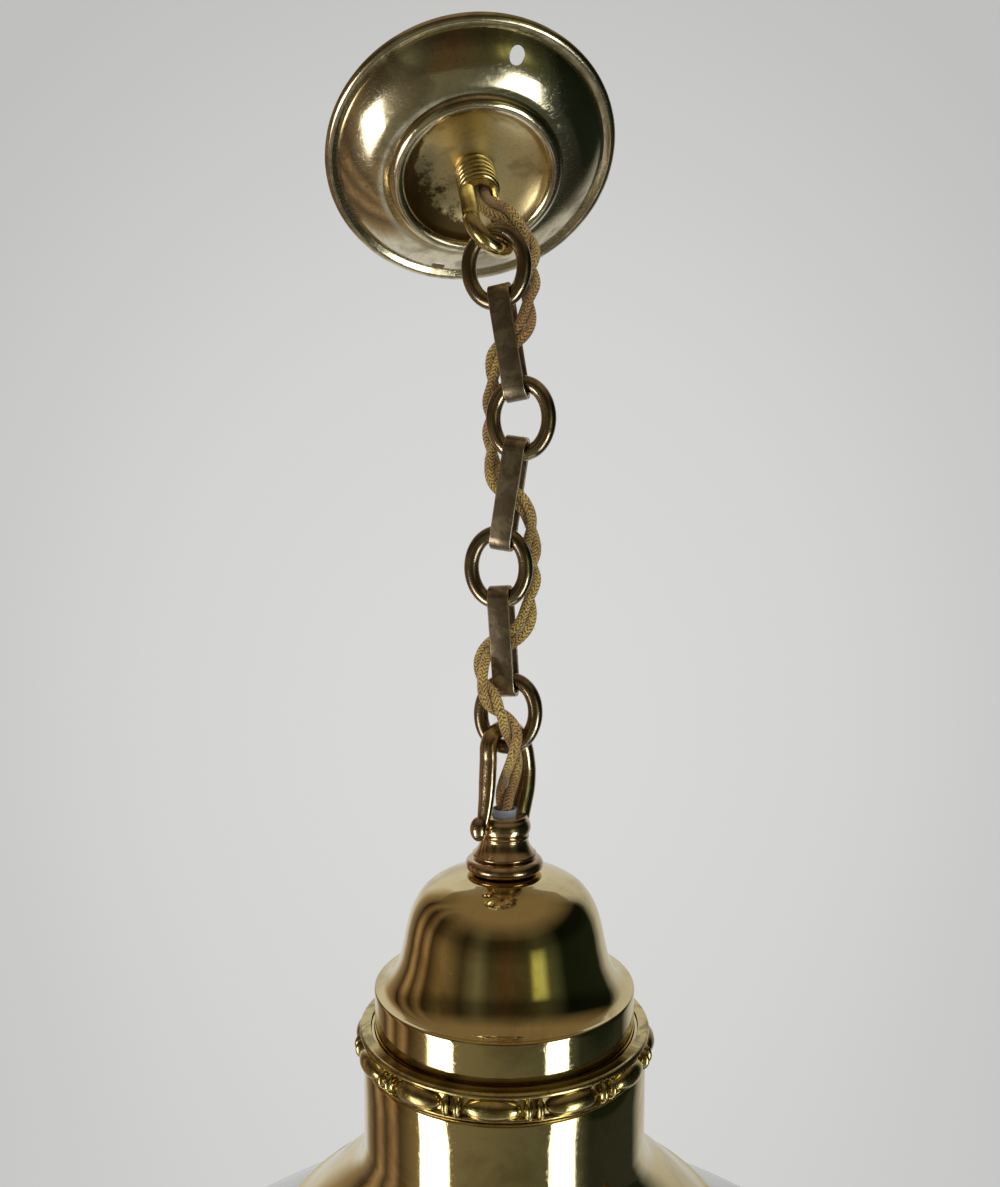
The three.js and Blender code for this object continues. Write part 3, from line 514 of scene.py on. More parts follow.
rose_brass = metal(
    "rose_brass", (0.78, 0.70, 0.50), (0.24, 0.18, 0.10), (0.10, 0.3), cover=0.7, scale=45,
    place=rose_frame, marks=0.05, scratch=0.02, spots=0.5)
dish_brass = metal(
    "dish_brass", (0.76, 0.63, 0.34), (0.14, 0.09, 0.035), (0.34, 0.56), cover=0.45, scale=90,
    place=rose_frame, marks=0.05, scratch=0.02, spots=0.7, stained=dish_stain)
finished(rose_cover, rose_brass, "aged_brass", "rose", "rose_cover")
rose_cover.data.materials.append(dish_brass)
for face, is_dish in zip(rose_cover.data.polygons, in_dish):
    face.material_index = int(is_dish)

# Rose hook: a hollow brass stem, cast with five round ribs, that runs into an open hook. The free
# end of the hook closes against the mouth of the stem.
stem_top = -0.0098
stem_end = -0.0252
rib_pitch = 0.0026
ribs = []
for i in range(5):
    rib_middle = stem_top - 0.0012 - (i + 0.5) * rib_pitch
    ribs += arc(0.0068, rib_middle, 0.0012, 62, -62, 8)
stem = spun("ribbed_hook", [
    (0.0047, -0.0042), (0.0056, -0.0042), (0.0056, stem_top), (0.0072, stem_top), *ribs,
    *arc(0.0064, stem_end + 0.0008, 0.0008, 40, -60, 5), (0.0047, stem_end),
], 96)


def bent_rod(name, points, radii, depth, sides=10, steps=10):
    """A round rod through points, with a share of its thickness at each."""
    bpy.ops.curve.primitive_bezier_curve_add()
    piece = bpy.context.active_object
    piece.name = piece.data.name = name
    spline = piece.data.splines[0]
    spline.bezier_points.add(len(points) - 2)
    for knot, point, radius in zip(spline.bezier_points, points, radii):
        knot.co = point
        knot.radius = radius
        knot.handle_left_type = knot.handle_right_type = "AUTO"
    spline.resolution_u = steps
    piece.data.bevel_depth = depth
    piece.data.bevel_resolution = sides
    piece.data.use_fill_caps = True
    bpy.ops.object.convert(target="MESH")
    bpy.ops.object.mode_set(mode="EDIT")
    bpy.ops.mesh.select_all(action="SELECT")
    bpy.ops.mesh.remove_doubles(threshold=1e-6)
    bpy.ops.mesh.normals_make_consistent(inside=False)
    bpy.ops.object.mode_set(mode="OBJECT")
    bpy.ops.object.shade_smooth_by_angle(angle=math.radians(40))
    return piece


def knob(radius, centre):
    bpy.ops.mesh.primitive_uv_sphere_add(segments=32, ring_count=20, radius=radius, location=centre)
    bpy.ops.object.transform_apply(location=True, rotation=True, scale=True)
    bpy.ops.object.shade_smooth()
    return bpy.context.active_object


def join(pieces):
    """Joins pieces into the first."""
    bpy.ops.object.select_all(action="DESELECT")
    for piece in pieces:
        piece.select_set(True)
    bpy.context.view_layer.objects.active = pieces[0]
    bpy.ops.object.join()
    return pieces[0]


hook_rod = 0.00312
hook_arc = 0.0088
hook_drop = 0.047
hook_line = [(0.0060, 0, stem_end + 0.0012), (0.0082, 0, (stem_end - hook_drop) / 2)]
for i in range(9):
    turn = math.radians(8 - 204 * i / 8)
    hook_line.append((hook_arc * math.cos(turn), 0, -hook_drop + hook_arc * math.sin(turn)))
hook_tip = (-hook_arc + 0.0012, 0, stem_end - 0.0048)
hook_line.append(hook_tip)
hook = bent_rod("hook_arms", hook_line, [1] * len(hook_line), hook_rod)
rose_hook = join([stem, hook, knob(hook_rod, hook_tip)])
settle(rose_hook, rose_frame @ Matrix.Rotation(math.radians(50), 4, "Z"))
hook_brass = metal(
    "hook_brass", (0.78, 0.64, 0.31), (0.26, 0.18, 0.07), (0.13, 0.34), cover=0.6, scale=110,
    place=rose_frame, marks=0.0, scratch=0.06)
finished(rose_hook, hook_brass, "aged_brass", "rose", "rose_hook")

# Washer and nut inside the rose: turned and milled brass, never polished. They clamp the stem of
# the hook in the middle of the dish. The two small screws of the connector have the same finish.
plain_brass = metal(
    "plain_brass", (0.72, 0.58, 0.30), (0.30, 0.21, 0.10), (0.24, 0.5), cover=0.6, scale=120,
    marks=0.05)
repaint(("hook_washer", "hook_nut", "terminal_screw_1", "terminal_screw_2"), plain_brass)


# Connector: a glazed porcelain block inside the rose, pressed and fired in one piece. The flex
# meets the house wiring in it, under two small brass screws.
def dull(name, colours, rough, scale=200, relief=0.2, distance=0.0003, coat=0.0):
    """A surface that isn't metal, mottled between two colours, with a fine grain."""
    material, tree, surface = new_material(name)
    grain = noise(
        tree, node(tree, "ShaderNodeTexCoord").outputs["Object"], scale, Detail=6, Roughness=0.6)
    feed(tree, surface, {
        "Base Color": ramp(tree, grain, [(0.35, colours[0]), (0.65, colours[1])]),
        "Roughness": held(tree, grain, 0, 1, *rough), "Coat Weight": coat,
        "Normal": bump(tree, grain, relief, distance)})
    return material


glazed = dull("glazed_porcelain", ((0.74, 0.71, 0.64), (0.82, 0.79, 0.72)), (0.18, 0.3), coat=0.4)
repaint(["terminal_block"], glazed)

# Chain rings: oval rings of thick round wire, brazed shut, in dark antique brass that is rubbed
# bright where the links touch.
chain_turn = math.radians(-14)
ring_wire = 0.0056
ring_height = 0.0316
ring_width = 0.0266
ring_lean = {"ring_4": math.radians(8)}


def centre_of(name):
    low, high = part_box(name)
    return (low + high) / 2


def oval_ring(name):
    bpy.ops.curve.primitive_bezier_circle_add(radius=1)
    piece = bpy.context.active_object
    bpy.ops.object.mode_set(mode="EDIT")
    bpy.ops.curve.select_all(action="SELECT")
    bpy.ops.transform.resize(value=((ring_width - ring_wire) / 2, (ring_height - ring_wire) / 2, 1))
    bpy.ops.object.mode_set(mode="OBJECT")
    piece.name = piece.data.name = name
    piece.data.splines[0].resolution_u = 24
    piece.data.bevel_depth = ring_wire / 2
    piece.data.bevel_resolution = 10
    bpy.ops.object.convert(target="MESH")
    bpy.ops.object.shade_smooth()
    return piece


chain_brass = metal(
    "chain_brass", (0.56, 0.46, 0.32), (0.20, 0.145, 0.09), (0.13, 0.3), cover=0.75, scale=70,
    marks=0.0, scratch=0.03, spots=0.25)
upright = Matrix.Rotation(math.pi / 2, 4, "X")
for i in range(1, 5):
    name = f"ring_{i}"
    lean = Matrix.Rotation(ring_lean.get(name, 0), 4, "Y")
    turned = Matrix.Rotation(chain_turn, 4, "Z") @ lean @ upright
    ring = settle(oval_ring(f"oval_ring_{i}"), Matrix.Translation(centre_of(name)) @ turned)
    finished(ring, chain_brass, "chain_brass", name, name)

# Strap links: a flat brass strip bent to a long loop, its ends brazed together at the bottom. Each
# holds the ring above it and the ring below it, and the flex runs through it.
strap_width = 0.0082
strap_wall = 0.0013
strap_room = 0.0076
strap_brass = metal(
    "strap_brass", (0.60, 0.49, 0.36), (0.20, 0.145, 0.095), (0.3, 0.42), cover=0.85, scale=130,
    marks=0.0, scratch=0.05, spots=0.6)
# Edge finish: lighter brass on the bevelled edges, partly real rubbed wear and partly a painted
# highlight along the edge lines
rubbed_and_highlit_brass = metal(
    "rubbed_and_highlit_brass", (0.95, 0.87, 0.66), (0.62, 0.50, 0.31), (0.3, 0.42), cover=0.4, scale=160,
    marks=0.0, scratch=0.04)


def strap_loop(name, room):
    middle = strap_room / 2 + strap_wall / 2
    straight = room / 2 - strap_room / 2
    half_step = math.pi / 48
    bpy.ops.mesh.primitive_circle_add(vertices=48, radius=middle, rotation=(0, 0, half_step))
    bpy.ops.object.transform_apply(location=False, rotation=True, scale=False)
    piece = bpy.context.active_object
    piece.name = piece.data.name = name
    piece.data.materials.append(strap_brass)
    piece.data.materials.append(rubbed_and_highlit_brass)
    for side in (1, -1):
        pick(piece, lambda place: place.y * side > 0)
        bpy.ops.transform.translate(value=(0, side * straight, 0))
    bpy.ops.mesh.select_all(action="SELECT")
    bpy.ops.transform.translate(value=(0, 0, -strap_width / 2))
    bpy.ops.mesh.extrude_region_move(TRANSFORM_OT_translate={"value": (0, 0, strap_width)})
    bpy.ops.mesh.select_all(action="SELECT")
    bpy.ops.mesh.normals_make_consistent(inside=False)
    bpy.ops.object.mode_set(mode="OBJECT")
    wall = piece.modifiers.new("wall", "SOLIDIFY")
    wall.thickness = strap_wall
    wall.offset = 0
    wall.use_even_offset = True
    bpy.ops.object.modifier_apply(modifier="wall")
    edges = piece.modifiers.new("edges", "BEVEL")
    edges.width = 0.00032
    edges.segments = 3
    edges.limit_method = "ANGLE"
    edges.angle_limit = math.radians(50)
    edges.material = 1
    bpy.ops.object.modifier_apply(modifier="edges")
    bpy.ops.object.shade_smooth_by_angle(angle=math.radians(35))
    return piece


# Each strap's lean and length come from the two rings that it joins, as in the chain itself
def oval_reach(side, turn):
    """How far the inside of a ring reaches at a place beside its centre."""
    half_width = ring_width / 2 - ring_wire
    half_height = ring_height / 2 - ring_wire
    s, c = math.sin(turn), math.cos(turn)
    a = (s / half_width) ** 2 + (c / half_height) ** 2
    b = 2 * side * s * c * (1 / half_width ** 2 - 1 / half_height ** 2)
    rest = side ** 2 * ((c / half_width) ** 2 + (s / half_height) ** 2) - 1
    return (-b + math.sqrt(b * b - 4 * a * rest)) / (2 * a)


link_gap = 0.00035
beside = Vector((math.cos(chain_turn), math.sin(chain_turn), 0))
for i in range(1, 4):
    upper, lower = centre_of(f"ring_{i}"), centre_of(f"ring_{i + 1}")
    span = lower - upper
    lean = math.atan2(span.dot(beside), -span.z)
    seats = []
    for turn in (0, -ring_lean.get(f"ring_{i + 1}", 0)):
        reaches = [oval_reach(side, turn - lean) for side in (-strap_width / 2, strap_width / 2)]
        seats.append(min(reaches) - link_gap)
    room_length = span.length - sum(seats)
    middle = upper + span.normalized() * (seats[0] + room_length / 2)
    place = (Matrix.Translation(middle) @ Matrix.Rotation(chain_turn, 4, "Z")
             @ Matrix.Rotation(-lean, 4, "Y") @ Matrix.Rotation(math.pi / 2, 4, "Z") @ upright)
    strap = settle(strap_loop(f"strap_link_{i}", room_length), place)
    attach(strap, f"strap_{i}")
    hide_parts(f"strap_{i}")

# Carrier hook: a turned, hollow brass base with an open hook cast on it. The thick arm rises
# behind, and the thin arm comes down in front and ends in a ball.
bell_low, bell_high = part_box("bell_cap")
lamp_axis = (bell_low + bell_high) / 2
lamp_frame = Matrix.Translation((lamp_axis.x, lamp_axis.y, bell_high.z))
carrier_rod = 0.0032
carrier_drop = 0.0555
base_low = 0.0003
base_top = 0.0219
base = spun("open_hook", [
    (0.0049, base_low), (0.0122, base_low), *arc(0.0122, 0.0030, 0.0027, -80, 80, 10),
    (0.0114, 0.0058), (0.0116, 0.0062), *arc(0.0116, 0.0070, 0.0007, -70, 60, 5),
    *curve_through([
        (0.0115, 0.0080), (0.0102, 0.0096), (0.0093, 0.0118), (0.0091, 0.0130)], 4),
    *arc(0.0089, 0.0138, 0.0006, -60, 60, 4),
    *curve_through([
        (0.0091, 0.0145), (0.0098, 0.0158), (0.0101, 0.0175), (0.0097, 0.0195), (0.0089, 0.0208),
    ], 4),
    *arc(0.0080, 0.0212, 0.0007, 20, 90, 3), (0.0049, base_top),
], 96)
arm_shares = [
    (0.13, -0.7), (0.15, -0.6), (0.2, -0.44), (0.209, -0.27), (0.16, -0.1), (0.065, -0.013), (0, 0),
    (-0.067, -0.010), (-0.1365, -0.067), (-0.152, -0.21), (-0.163, -0.36), (-0.182, -0.51),
    (-0.207, -0.62), (-0.236, -0.68),
]
thickness_shares = [1.3, 1.38, 1.32, 1.2, 1.07, 1, 1, 0.96, 0.94, 0.97, 0.93, 0.8, 0.66, 0.55]
arm_line = [(side * carrier_drop, 0, carrier_drop * (1 + up)) for side, up in arm_shares]
arm = bent_rod("carrier_arm", arm_line, thickness_shares, carrier_rod)
leaf_start = -0.09
leaf_length = 0.08
leaf_spread = 0.22
for vertex in arm.data.vertices:
    leaf = min(max((leaf_start - vertex.co.x / carrier_drop) / leaf_length, 0), 1)
    vertex.co.y *= 1 + leaf_spread * leaf
curl = knob(carrier_rod, (0, 0, 0))
curl.scale = (1, 1.05, 1.45)
bpy.ops.object.transform_apply(location=False, rotation=False, scale=True)
settle(curl, Matrix.Translation(Vector(arm_line[-1]) + Vector((-0.0006, 0, 0.0014))))
carrier = join([base, arm, curl])
settle(carrier, lamp_frame @ Matrix.Rotation(math.radians(45), 4, "Z"))
copper_brass = metal(
    "copper_brass", (0.72, 0.56, 0.37), (0.26, 0.16, 0.09), (0.13, 0.3), cover=0.6, scale=80,
    place=lamp_frame, marks=0.02, scratch=0.03)
finished(carrier, copper_brass, "copper_brass", "lamp", "carrier_hook")

# Cord sleeve: a thin sleeve of grey rubber, pushed into the mouth of the base. It keeps the flex
# off the brass edge.
sleeve_low, sleeve_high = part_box("cord_sleeve")
sleeve_foot = sleeve_low.z - bell_high.z
sleeve_lip = sleeve_high.z - bell_high.z - 0.002
sleeve = spun("grey_sleeve", [
    (0.0042, sleeve_foot), (0.0046, sleeve_foot), (0.0046, sleeve_lip - 0.0002),
    *arc(0.0044, sleeve_lip - 0.0002, 0.0002, 0, 180, 6),
], 64)
settle(sleeve, lamp_frame)
grey_rubber = dull("grey_rubber", ((0.27, 0.30, 0.34), (0.38, 0.41, 0.46)), (0.35, 0.55))
finished(sleeve, grey_rubber, "sleeve_grey", "lamp", "cord_sleeve")

# Bell: one brass spinning, a waisted bell over a plain band, polished all over. The base of the
# hook stands on its crown, and the threaded tube holds the two together.
metal_wall = 0.0009
bell_radius = 0.05
bell_height = 0.0444
crown_radius = 0.0156
band_height = 0.028
bell_face = [
    (0.0065, 0), (crown_radius, -0.0001),
    *curve_through([
        (0.0180, -0.0006), (0.0245, -0.0029), (0.0308, -0.0071), (0.0350, -0.0133),
        (0.0373, -0.0200), (0.0388, -0.0271), (0.0405, -0.0340), (0.0430, -0.0393),
        (0.0458, -0.0424), (0.0487, -0.0437),
    ], 7),
    *arc(bell_radius - 0.0008, -bell_height - 0.0001, 0.0008, 80, 0, 6),
    (bell_radius, -bell_height - 0.0012), (bell_radius, -bell_height - band_height / 2),
    (bell_radius, -bell_height - band_height),
]
bell = spun("bell_spinning", [*bell_face, *behind(bell_face, metal_wall)], 192)
settle(bell, lamp_frame)
bell_brass = metal(
    "bell_brass", (0.80, 0.66, 0.36), (0.38, 0.28, 0.12), (0.05, 0.15), cover=0.5, scale=38,
    place=lamp_frame, marks=0.025, scratch=0.005, spots=0.2)
finished(bell, bell_brass, "bright_brass", "lamp", "bell_cap")

# Skirt: a brass spinning that slips over the band of the bell, with a neck and a flaring cone. Its
# lower edge is rolled, and it covers the top of the glass.
spigot_radius = bell_radius + 0.0003 + metal_wall
neck_radius = 0.0544
neck_top = 0.0704
flare_top = 0.109
skirt_radius = 0.09
skirt_bottom = -flare_top - (skirt_radius - neck_radius) * 1.04
skirt_face = [
    (spigot_radius, -neck_top + 0.0108), (spigot_radius, -neck_top + metal_wall),
    *arc(neck_radius - 0.001, -neck_top - 0.001, 0.001, 90, 0, 5),
    (neck_radius, -neck_top - 0.009),
    *curve_through([
        (neck_radius, -flare_top + 0.0150), (neck_radius, -flare_top + 0.0090),
        (neck_radius + 0.0001, -flare_top + 0.0045), (neck_radius + 0.0008, -flare_top - 0.0005),
        (neck_radius + 0.0024, -flare_top - 0.0052), (neck_radius + 0.0056, -flare_top - 0.0100),
        (neck_radius + 0.0110, -flare_top - 0.0148), (neck_radius + 0.0176, -flare_top - 0.0203),
        (neck_radius + 0.0236, -flare_top - 0.0260), (neck_radius + 0.0296, -flare_top - 0.0318),
    ], 5),
    (skirt_radius - 0.0012, skirt_bottom + 0.0012),
]
skirt_roll = arc(skirt_radius - 0.0016, skirt_bottom, 0.0016, 45, -135, 12)
skirt = spun("flared_skirt", [*skirt_face, *skirt_roll, *behind(skirt_face, metal_wall)], 192)
settle(skirt, lamp_frame)
finished(skirt, bell_brass, "bright_brass", "lamp", "skirt")

# Trim ring: a cast brass band of long beads, with two reels between each pair, rolled to a ring
# that sits on top of the skirt's neck.
trim_repeats = 12
trim_radius = 0.0543
trim_low = -neck_top + 0.0012
trim_bead = 0.0042
bead_middle = trim_low + trim_bead
arc_length = 2 * math.pi * trim_radius / trim_repeats
channel = spun("bead_and_reel", [
    (0.0515, trim_low), (trim_radius + 0.0004, trim_low),
    *arc(trim_radius + 0.0006, trim_low + 0.0006, 0.0006, -80, 100, 6),
    (trim_radius - 0.0004, trim_low + 0.0016), (trim_radius - 0.0006, bead_middle + 0.0030),
    *arc(trim_radius + 0.0002, trim_low + 0.0092, 0.0013, -80, 110, 12),
    (0.0515, trim_low + 0.0106),
], 192)
bead_length = 0.35
reel_length = 0.06
trim_reel = trim_bead * 0.94
ornaments = [channel]
for place, half, size in [
        (0, bead_length, trim_bead), (0.428, reel_length, trim_reel),
        (0.572, reel_length, trim_reel)]:
    bpy.ops.mesh.primitive_uv_sphere_add(segments=32, ring_count=20, radius=1)
    ornament = bpy.context.active_object
    bpy.ops.object.shade_smooth()
    ornament.rotation_euler = (math.pi / 2, 0, 0)
    bpy.ops.object.transform_apply(location=False, rotation=True, scale=False)
    ornament.scale = (size * 0.86, half * arc_length, size)
    bpy.ops.object.transform_apply(location=False, rotation=False, scale=True)
    for vertex in ornament.data.vertices:
        turn = vertex.co.y / trim_radius + 2 * math.pi * place / trim_repeats
        out = trim_radius + vertex.co.x
        vertex.co = (out * math.cos(turn), out * math.sin(turn), bead_middle + vertex.co.z)
    for i in range(trim_repeats):
        copy = ornament.copy()
        copy.data = ornament.data.copy()
        copy.data.transform(Matrix.Rotation(2 * math.pi * i / trim_repeats, 4, "Z"))
        bpy.context.scene.collection.objects.link(copy)
        ornaments.append(copy)
    bpy.data.objects.remove(ornament)
trim = join(ornaments)
settle(trim, lamp_frame @ Matrix.Rotation(math.radians(-94.5), 4, "Z"))
trim_brass = metal(
    "trim_brass", (0.70, 0.58, 0.27), (0.17, 0.115, 0.045), (0.14, 0.34), cover=0.62, scale=110,
    place=lamp_frame, marks=0.0, scratch=0.03)
finished(trim, trim_brass, "bright_brass", "lamp", "trim_ring")

# Threaded tube, washer and nut: turned brass. They clamp the bell under the base of the hook, and
# the flex comes down through the tube.
repaint(("stem_tube", "stem_washer", "stem_nut"), plain_brass)

# Lampholder: a drawn brass cap and shell, with a core and a ring of dark moulded plastic. It is
# screwed on the threaded tube, and two sprung plungers press on the contacts of the bulb.
repaint(("holder_cap", "holder_shell", "plunger_1", "plunger_2"), plain_brass)
bakelite = dull("bakelite", ((0.045, 0.026, 0.018), (0.085, 0.05, 0.032)), (0.2, 0.34), coat=0.3)
repaint(("holder_core", "holder_ring"), bakelite)

# Bulb: a pear-shaped glass, frosted inside, cemented in a brass cap. The two pins of the cap hold
# it in the lampholder.
repaint(["bulb_cap"], plain_brass)
frosted = dull(
    "frosted_bulb", ((0.80, 0.79, 0.75), (0.86, 0.85, 0.82)), (0.12, 0.2), relief=0.05, coat=0.5)
glass_low, glass_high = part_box("bulb_glass")
bulb_top = glass_high.z - bell_high.z
bulb_length = glass_high.z - glass_low.z
bulb_radius = (glass_high.x - glass_low.x) / 2
bulb_shares = [
    (0.34, 0), (0.36, 0.08), (0.39, 0.16), (0.52, 0.27), (0.70, 0.36), (0.87, 0.46), (0.97, 0.56),
    (1, 0.66), (0.96, 0.76), (0.84, 0.86), (0.62, 0.94), (0.33, 0.99),
]
bulb = spun("bulb_envelope", [
    (0, bulb_top), (0.33 * bulb_radius, bulb_top),
    *curve_through([(bulb_radius * r, bulb_top - bulb_length * z) for r, z in bulb_shares], 4),
    (0, bulb_top - bulb_length),
], 96)
settle(bulb, lamp_frame)
finished(bulb, frosted, "bulb_glass", "bulb", "bulb_glass")

# Screws that hold the glass: three turned brass bosses through the cone of the skirt, each with a
# knurled thumbscrew that presses on the neck of the glass.
for i in (1, 2, 3):
    repaint((f"screw_boss_{i}", f"thumbscrew_{i}"), plain_brass)

# Glass: a white opaline shade, blown in a mould, with an upright neck inside the skirt, a sloping
# shoulder and a ground lower edge. Its colour is set grey, a painted shade over the white glass.
shade_low, shade_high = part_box("glass_shade")
glass_top = shade_high.z - bell_high.z
glass_foot = glass_top - 0.013
glass_bottom = shade_low.z - bell_high.z
glass_neck = 0.066
glass_radius = 0.18
glass_wall = 0.0032
under_skirt = skirt_bottom - 0.0016 - 0.0033
glass_face = [
    (glass_neck, glass_top), (glass_neck, glass_foot + 0.003),
    *curve_through([
        (glass_neck, glass_foot + 0.002), (glass_neck + 0.0014, glass_foot),
        (glass_neck + 0.006, glass_foot - 0.0018), (skirt_radius, under_skirt),
        (0.12, under_skirt - 0.021), (0.15, under_skirt - 0.042),
        (0.1681, under_skirt - 0.0547), (0.1760, under_skirt - 0.0612),
        (glass_radius, under_skirt - 0.0684),
    ], 6),
    (glass_radius, glass_bottom),
]
shade = spun("opaline_shade", [*glass_face, *behind(glass_face, glass_wall)], 192)
settle(shade, lamp_frame)
opaline, milk, milk_surface = new_material("opaline")
swirl = noise(
    milk, node(milk, "ShaderNodeTexCoord").outputs["Object"], 14, Detail=4, Roughness=0.5,
    Distortion=1.2)
# Painted shade: the base colour is grey rather than the glass's white; the cloudy swirl is the
# glass's own tone
feed(milk, milk_surface, {
    "Base Color": ramp(milk, swirl, [(0.3, (0.56, 0.57, 0.58)), (0.7, (0.66, 0.665, 0.66))]),
    "Roughness": 0.12, "Subsurface Weight": 0.25, "Subsurface Radius": (1, 1, 1),
    "Subsurface Scale": 0.004, "Normal": bump(milk, swirl, 0.15, 0.002)})
finished(shade, opaline, "opaline_glass", "lamp", "glass_shade")


# Flex: two cores, each rubber under braided cotton, wound round each other. The flex leaves the
# stem, is threaded through the straps, and goes down the hollow base to the lampholder.
def smooth_line(points, per_span=24):
    """Points along a centripetal curve through the given points."""
    chain = [points[0] * 2 - points[1], *points, points[-1] * 2 - points[-2]]
    line = []
    for a, b, c, d in zip(chain, chain[1:], chain[2:], chain[3:]):
        t1 = (b - a).length ** 0.5
        t2 = t1 + (c - b).length ** 0.5
        t3 = t2 + (d - c).length ** 0.5
        for i in range(per_span):
            t = t1 + (t2 - t1) * i / per_span
            ab = a.lerp(b, t / t1)
            bc = b.lerp(c, (t - t1) / (t2 - t1))
            cd = c.lerp(d, (t - t2) / (t3 - t2))
            abc = ab.lerp(bc, t / t2)
            bcd = bc.lerp(cd, (t - t1) / (t3 - t1))
            line.append(abc.lerp(bcd, (t - t1) / (t2 - t1)))
    return line + [points[-1]]


def evenly(line, step):
    """The same line, with points an even step apart."""
    spaced = [line[0]]
    left = step
    for a, b in zip(line, line[1:]):
        length = (b - a).length
        while length > 0 and left <= length:
            a = a.lerp(b, left / length)
            spaced.append(a.copy())
            length = (b - a).length
            left = step
        left -= length
    return spaced


core_radius = 0.0019
conductor_radius = 0.0011
core_spread = 0.00194
ring_pitch = 0.0552
half_turns = 3
ease_share = 0.9
flex_route = [
    (-5, 8.4, 249.8), (1.2, 5.2, 246.6), (6, 6.0, 242.3), (9, 6.9, 236), (9.9, 6.8, 227.3),
    (9.2, 6, 218.3), (8.4, 2.6, 209), (6.2, -0.6, 203.5), (1.6, -0.4, 199.3), (-2.8, 0.8, 195),
    (-4.4, 3.8, 189), (-4.4, 6.8, 182), (-4.6, 8.4, 176), (-4.6, 8.4, 169.4), (-4.4, 6.8, 161.5),
    (-4.2, 3.8, 154.5), (-2.8, 1.2, 148.8), (1.9, -0.5, 144.3), (6.4, -1.0, 140.4),
    (8.8, 1.4, 136.2),
    (10.0, 5.4, 128.5), (10.2, 6.8, 122), (10.2, 6.8, 112.6), (9.6, 5, 104.2), (8.4, 1.8, 97),
    (5.6, -0.4, 92.4), (0.5, -0.2, 88.6), (-5.2, 1.3, 86.3), (-8.0, -1.1, 82.7), (-8.4, -5.4, 77.8),
    (-7.0, -8.4, 72), (-3.5, -9.2, 65.5), (0.6, -8.9, 60), (3.0, -8.7, 54.6), (3.6, -8.2, 46.9),
    (3.0, -5.5, 41.1), (1.6, -2.2, 35.3), (0.4, -0.3, 30.6), (0, 0, 27), (0, 0, 14),
    (0, 0, -20), (0, 0, -74),
]
millimetre = 0.001
stem_depths = (-0.0078, -0.0175, -0.0270)
flex_points = [rose_frame @ Vector((0, 0, depth)) for depth in stem_depths]
flex_points += [lamp_frame @ (Vector(point) * millimetre) for point in flex_route]
flex_step = 0.0005
flex_line = evenly(smooth_line(flex_points), flex_step)
pair_level = centre_of("strap_1").z


def core_line(side):
    """One core's centre line: the pair turns half a turn at each half pitch, slower at a strap."""
    line = []
    for i, centre in enumerate(flex_line):
        along = (flex_line[min(i + 1, len(flex_line) - 1)] - flex_line[max(i - 1, 0)]).normalized()
        level = (pair_level - centre.z) / ring_pitch
        turn = math.pi * half_turns * level - ease_share * math.sin(2 * math.pi * level)
        out = (beside - along * beside.dot(along)).normalized()
        out.rotate(Matrix.Rotation(turn, 3, along))
        line.append(centre + out * side * core_spread)
    return line


def braided_tube(name, line, radii, sides=20):
    """A round tube along a line, with its own map: once round it, and along it in turns."""
    tangent = (line[1] - line[0]).normalized()
    normal = tangent.orthogonal().normalized()
    vertices, faces, maps = [], [], []
    travelled = 0
    for i, centre in enumerate(line):
        after = line[min(i + 1, len(line) - 1)] - line[max(i - 1, 0)]
        tangent = after.normalized()
        normal = (normal - tangent * normal.dot(tangent)).normalized()
        other = tangent.cross(normal)
        if i:
            travelled += (centre - line[i - 1]).length
        for j in range(sides):
            turn = 2 * math.pi * j / sides
            vertices.append(centre + (normal * math.cos(turn) + other * math.sin(turn)) * radii[i])
        maps.append(travelled)
    for i in range(len(line) - 1):
        for j in range(sides):
            k = (j + 1) % sides
            faces.append((i * sides + j, i * sides + k, (i + 1) * sides + k, (i + 1) * sides + j))
    faces.append(tuple(range(sides))[::-1])
    faces.append(tuple((len(line) - 1) * sides + j for j in range(sides)))
    # Stray fibres: a thin bent hair, three-sided, at every second millimetre
    chance = random.Random(name)
    hair_thickness = (0.00005, 0.00004, 0.00001)
    for i in range(4, len(line) - 4, 4):
        if radii[i] < core_radius:
            continue
        root = vertices[i * sides + chance.randrange(sides)]
        out = (root - line[i]).normalized()
        along = (line[i + 1] - line[i]).normalized()
        lean = (along * chance.uniform(-1.2, 1.2) + out.cross(along) * chance.uniform(-0.8, 0.8))
        reach = chance.uniform(0.0006, 0.0024)
        first = len(vertices)
        hair = [root - out * 0.0002, root + out * reach * 0.5 + lean * reach * 0.3,
                root + out * reach * 0.7 + lean * reach]
        for point, thick in zip(hair, hair_thickness):
            vertices += [point + along * thick, point - along * thick,
                         point + out.cross(along) * thick]
        for k in (0, 3):
            for j in range(3):
                a, b = first + k + j, first + k + (j + 1) % 3
                faces.append((a, b, b + 3, a + 3))
    made = bpy.data.meshes.new(name)
    made.from_pydata(vertices, [], faces)
    layer = made.uv_layers.new(name="braid")
    circumference = 2 * math.pi * core_radius
    for i in range(len(line) - 1):
        for j in range(sides):
            loop = made.polygons[i * sides + j].loop_start
            low, high = maps[i] / circumference, maps[i + 1] / circumference
            for offset, (u, v) in enumerate(((j, low), (j + 1, low), (j + 1, high), (j, high))):
                layer.data[loop + offset].uv = (u / sides, v)
    piece = bpy.data.objects.new(name, made)
    bpy.context.scene.collection.objects.link(piece)
    for face in made.polygons:
        face.use_smooth = len(face.vertices) == 4
    return piece


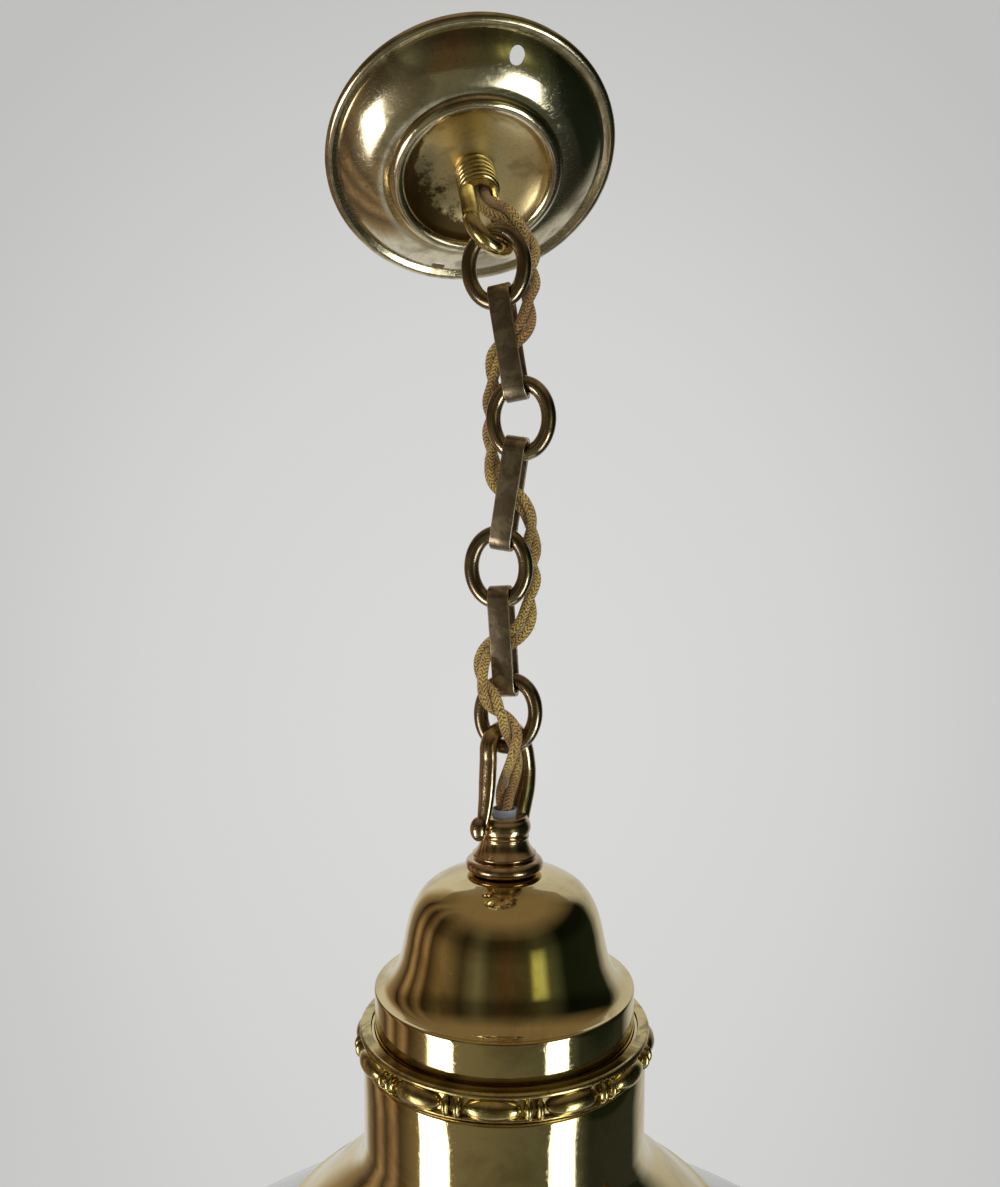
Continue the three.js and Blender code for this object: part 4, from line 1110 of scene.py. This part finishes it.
cotton, weave, yarn = new_material("braided_cotton")
strands = 8
flat = parts_of(weave, node(weave, "ShaderNodeUVMap", uv_map="braid").outputs["UV"])
on_yarn = node(weave, "ShaderNodeTexCoord").outputs["Object"]
wander = math_node(weave, "MULTIPLY", math_node(
    weave, "SUBTRACT", noise(weave, on_yarn, 900, Detail=2), 0.5), 1.1)
turns = [math_node(weave, "ADD", math_node(
    weave, "MULTIPLY", flat[axis], float(strands)), wander) for axis in ("X", "Y")]
one_way = math_node(weave, "ADD", *turns)
other_way = math_node(weave, "SUBTRACT", *turns)
ridges = []
for slant in (one_way, other_way):
    wave = math_node(weave, "SINE", math_node(weave, "MULTIPLY", slant, math.pi))
    ridges.append(math_node(weave, "ABSOLUTE", wave))
halves = [math_node(weave, "MULTIPLY", slant, 0.5) for slant in (one_way, other_way)]
over = math_node(weave, "PINGPONG", math_node(
    weave, "FLOOR", math_node(weave, "ADD", *halves)), 1.0)
crossed = node(weave, "ShaderNodeMix", {
    "Factor": over, 2: ridges[0], 3: ridges[1]}, data_type="FLOAT")
fresh_ochre = (0.72, 0.50, 0.13)
faded_ochre = (0.47, 0.25, 0.07)
painted_shade_between_threads = (0.115, 0.058, 0.014)
faded = ramp(weave, noise(weave, on_yarn, 70, Detail=3), [(0.4, black), (0.62, white)])
light_yarn = mix(weave, faded, fresh_ochre, faded_ochre)
fibre = noise(weave, on_yarn, 2600, Detail=4, Roughness=0.7)
tufted = math_node(weave, "ADD", crossed.outputs[0], math_node(
    weave, "MULTIPLY", math_node(weave, "SUBTRACT", fibre, 0.5), 3.2))
# Painted shade: the yarn is darkened between the threads of the braid, where they dip, and keeps
# its own colour on their crowns
thread_shade = ramp(weave, tufted, [(0.25, black), (0.95, white)])
thread_height = math_node(weave, "ADD", crossed.outputs[0], math_node(
    weave, "MULTIPLY", fibre, 0.5))
feed(weave, yarn, {
    "Base Color": mix(weave, thread_shade, painted_shade_between_threads, light_yarn), "Roughness": 0.75,
    "Sheen Weight": 0.35, "Sheen Roughness": 0.4,
    "Normal": bump(weave, thread_height, 1.0, 0.0003)})

# The flex is cut half-way between the chain's joints, so each length spans one joint
link_bodies = [
    "rose", "ring_1", "strap_1", "ring_2", "strap_2", "ring_3", "strap_3", "ring_4", "lamp"]
chain_joints = frame["record"]["behaviour"]["joints"][:len(link_bodies) - 1]
joint_heights = [joint["pos_m"][2] for joint in chain_joints]
middles = [(a + b) / 2 for a, b in zip(joint_heights, joint_heights[1:])]
block_turn = math.radians(185)
block_frame = rose_frame @ Matrix.Rotation(block_turn, 4, "Z")
loose_route = [
    (18.1, 6, -5.8), (14, 6, -5.5), (10.5, 4.8, -2.9), (5.6, 3.3, -1.9), (1.57, 2.02, -4.5)]
joined_points = 7
bare_margin = 20
for core, side in ((1, 1), (2, -1)):
    line = core_line(side)
    loose = [block_frame @ (Vector((x, side * y, z)) * millimetre) for x, y, z in loose_route]
    lead = evenly(smooth_line([*loose, line[0], line[joined_points - 1]], 12), flex_step)
    whole = lead + line[joined_points:]
    bare = len(lead) - joined_points - 1
    radii = [conductor_radius if i < bare else core_radius for i in range(len(whole))]
    cuts = [0]
    for level in middles:
        cuts.append(next(
            i for i, point in enumerate(whole) if i > bare + bare_margin and point.z < level))
    cuts.append(len(whole) - 1)
    for i, (start, end) in enumerate(zip(cuts, cuts[1:])):
        piece = braided_tube(f"flex_{core}_{i + 1}", whole[start:end + 1], radii[start:end + 1])
        piece.data.materials.append(cotton)
        pivot = joint_heights[i]
        middle = Vector((lamp_axis.x, lamp_axis.y, pivot))
        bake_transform(piece)
        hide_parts(f"flex_core_{core}")
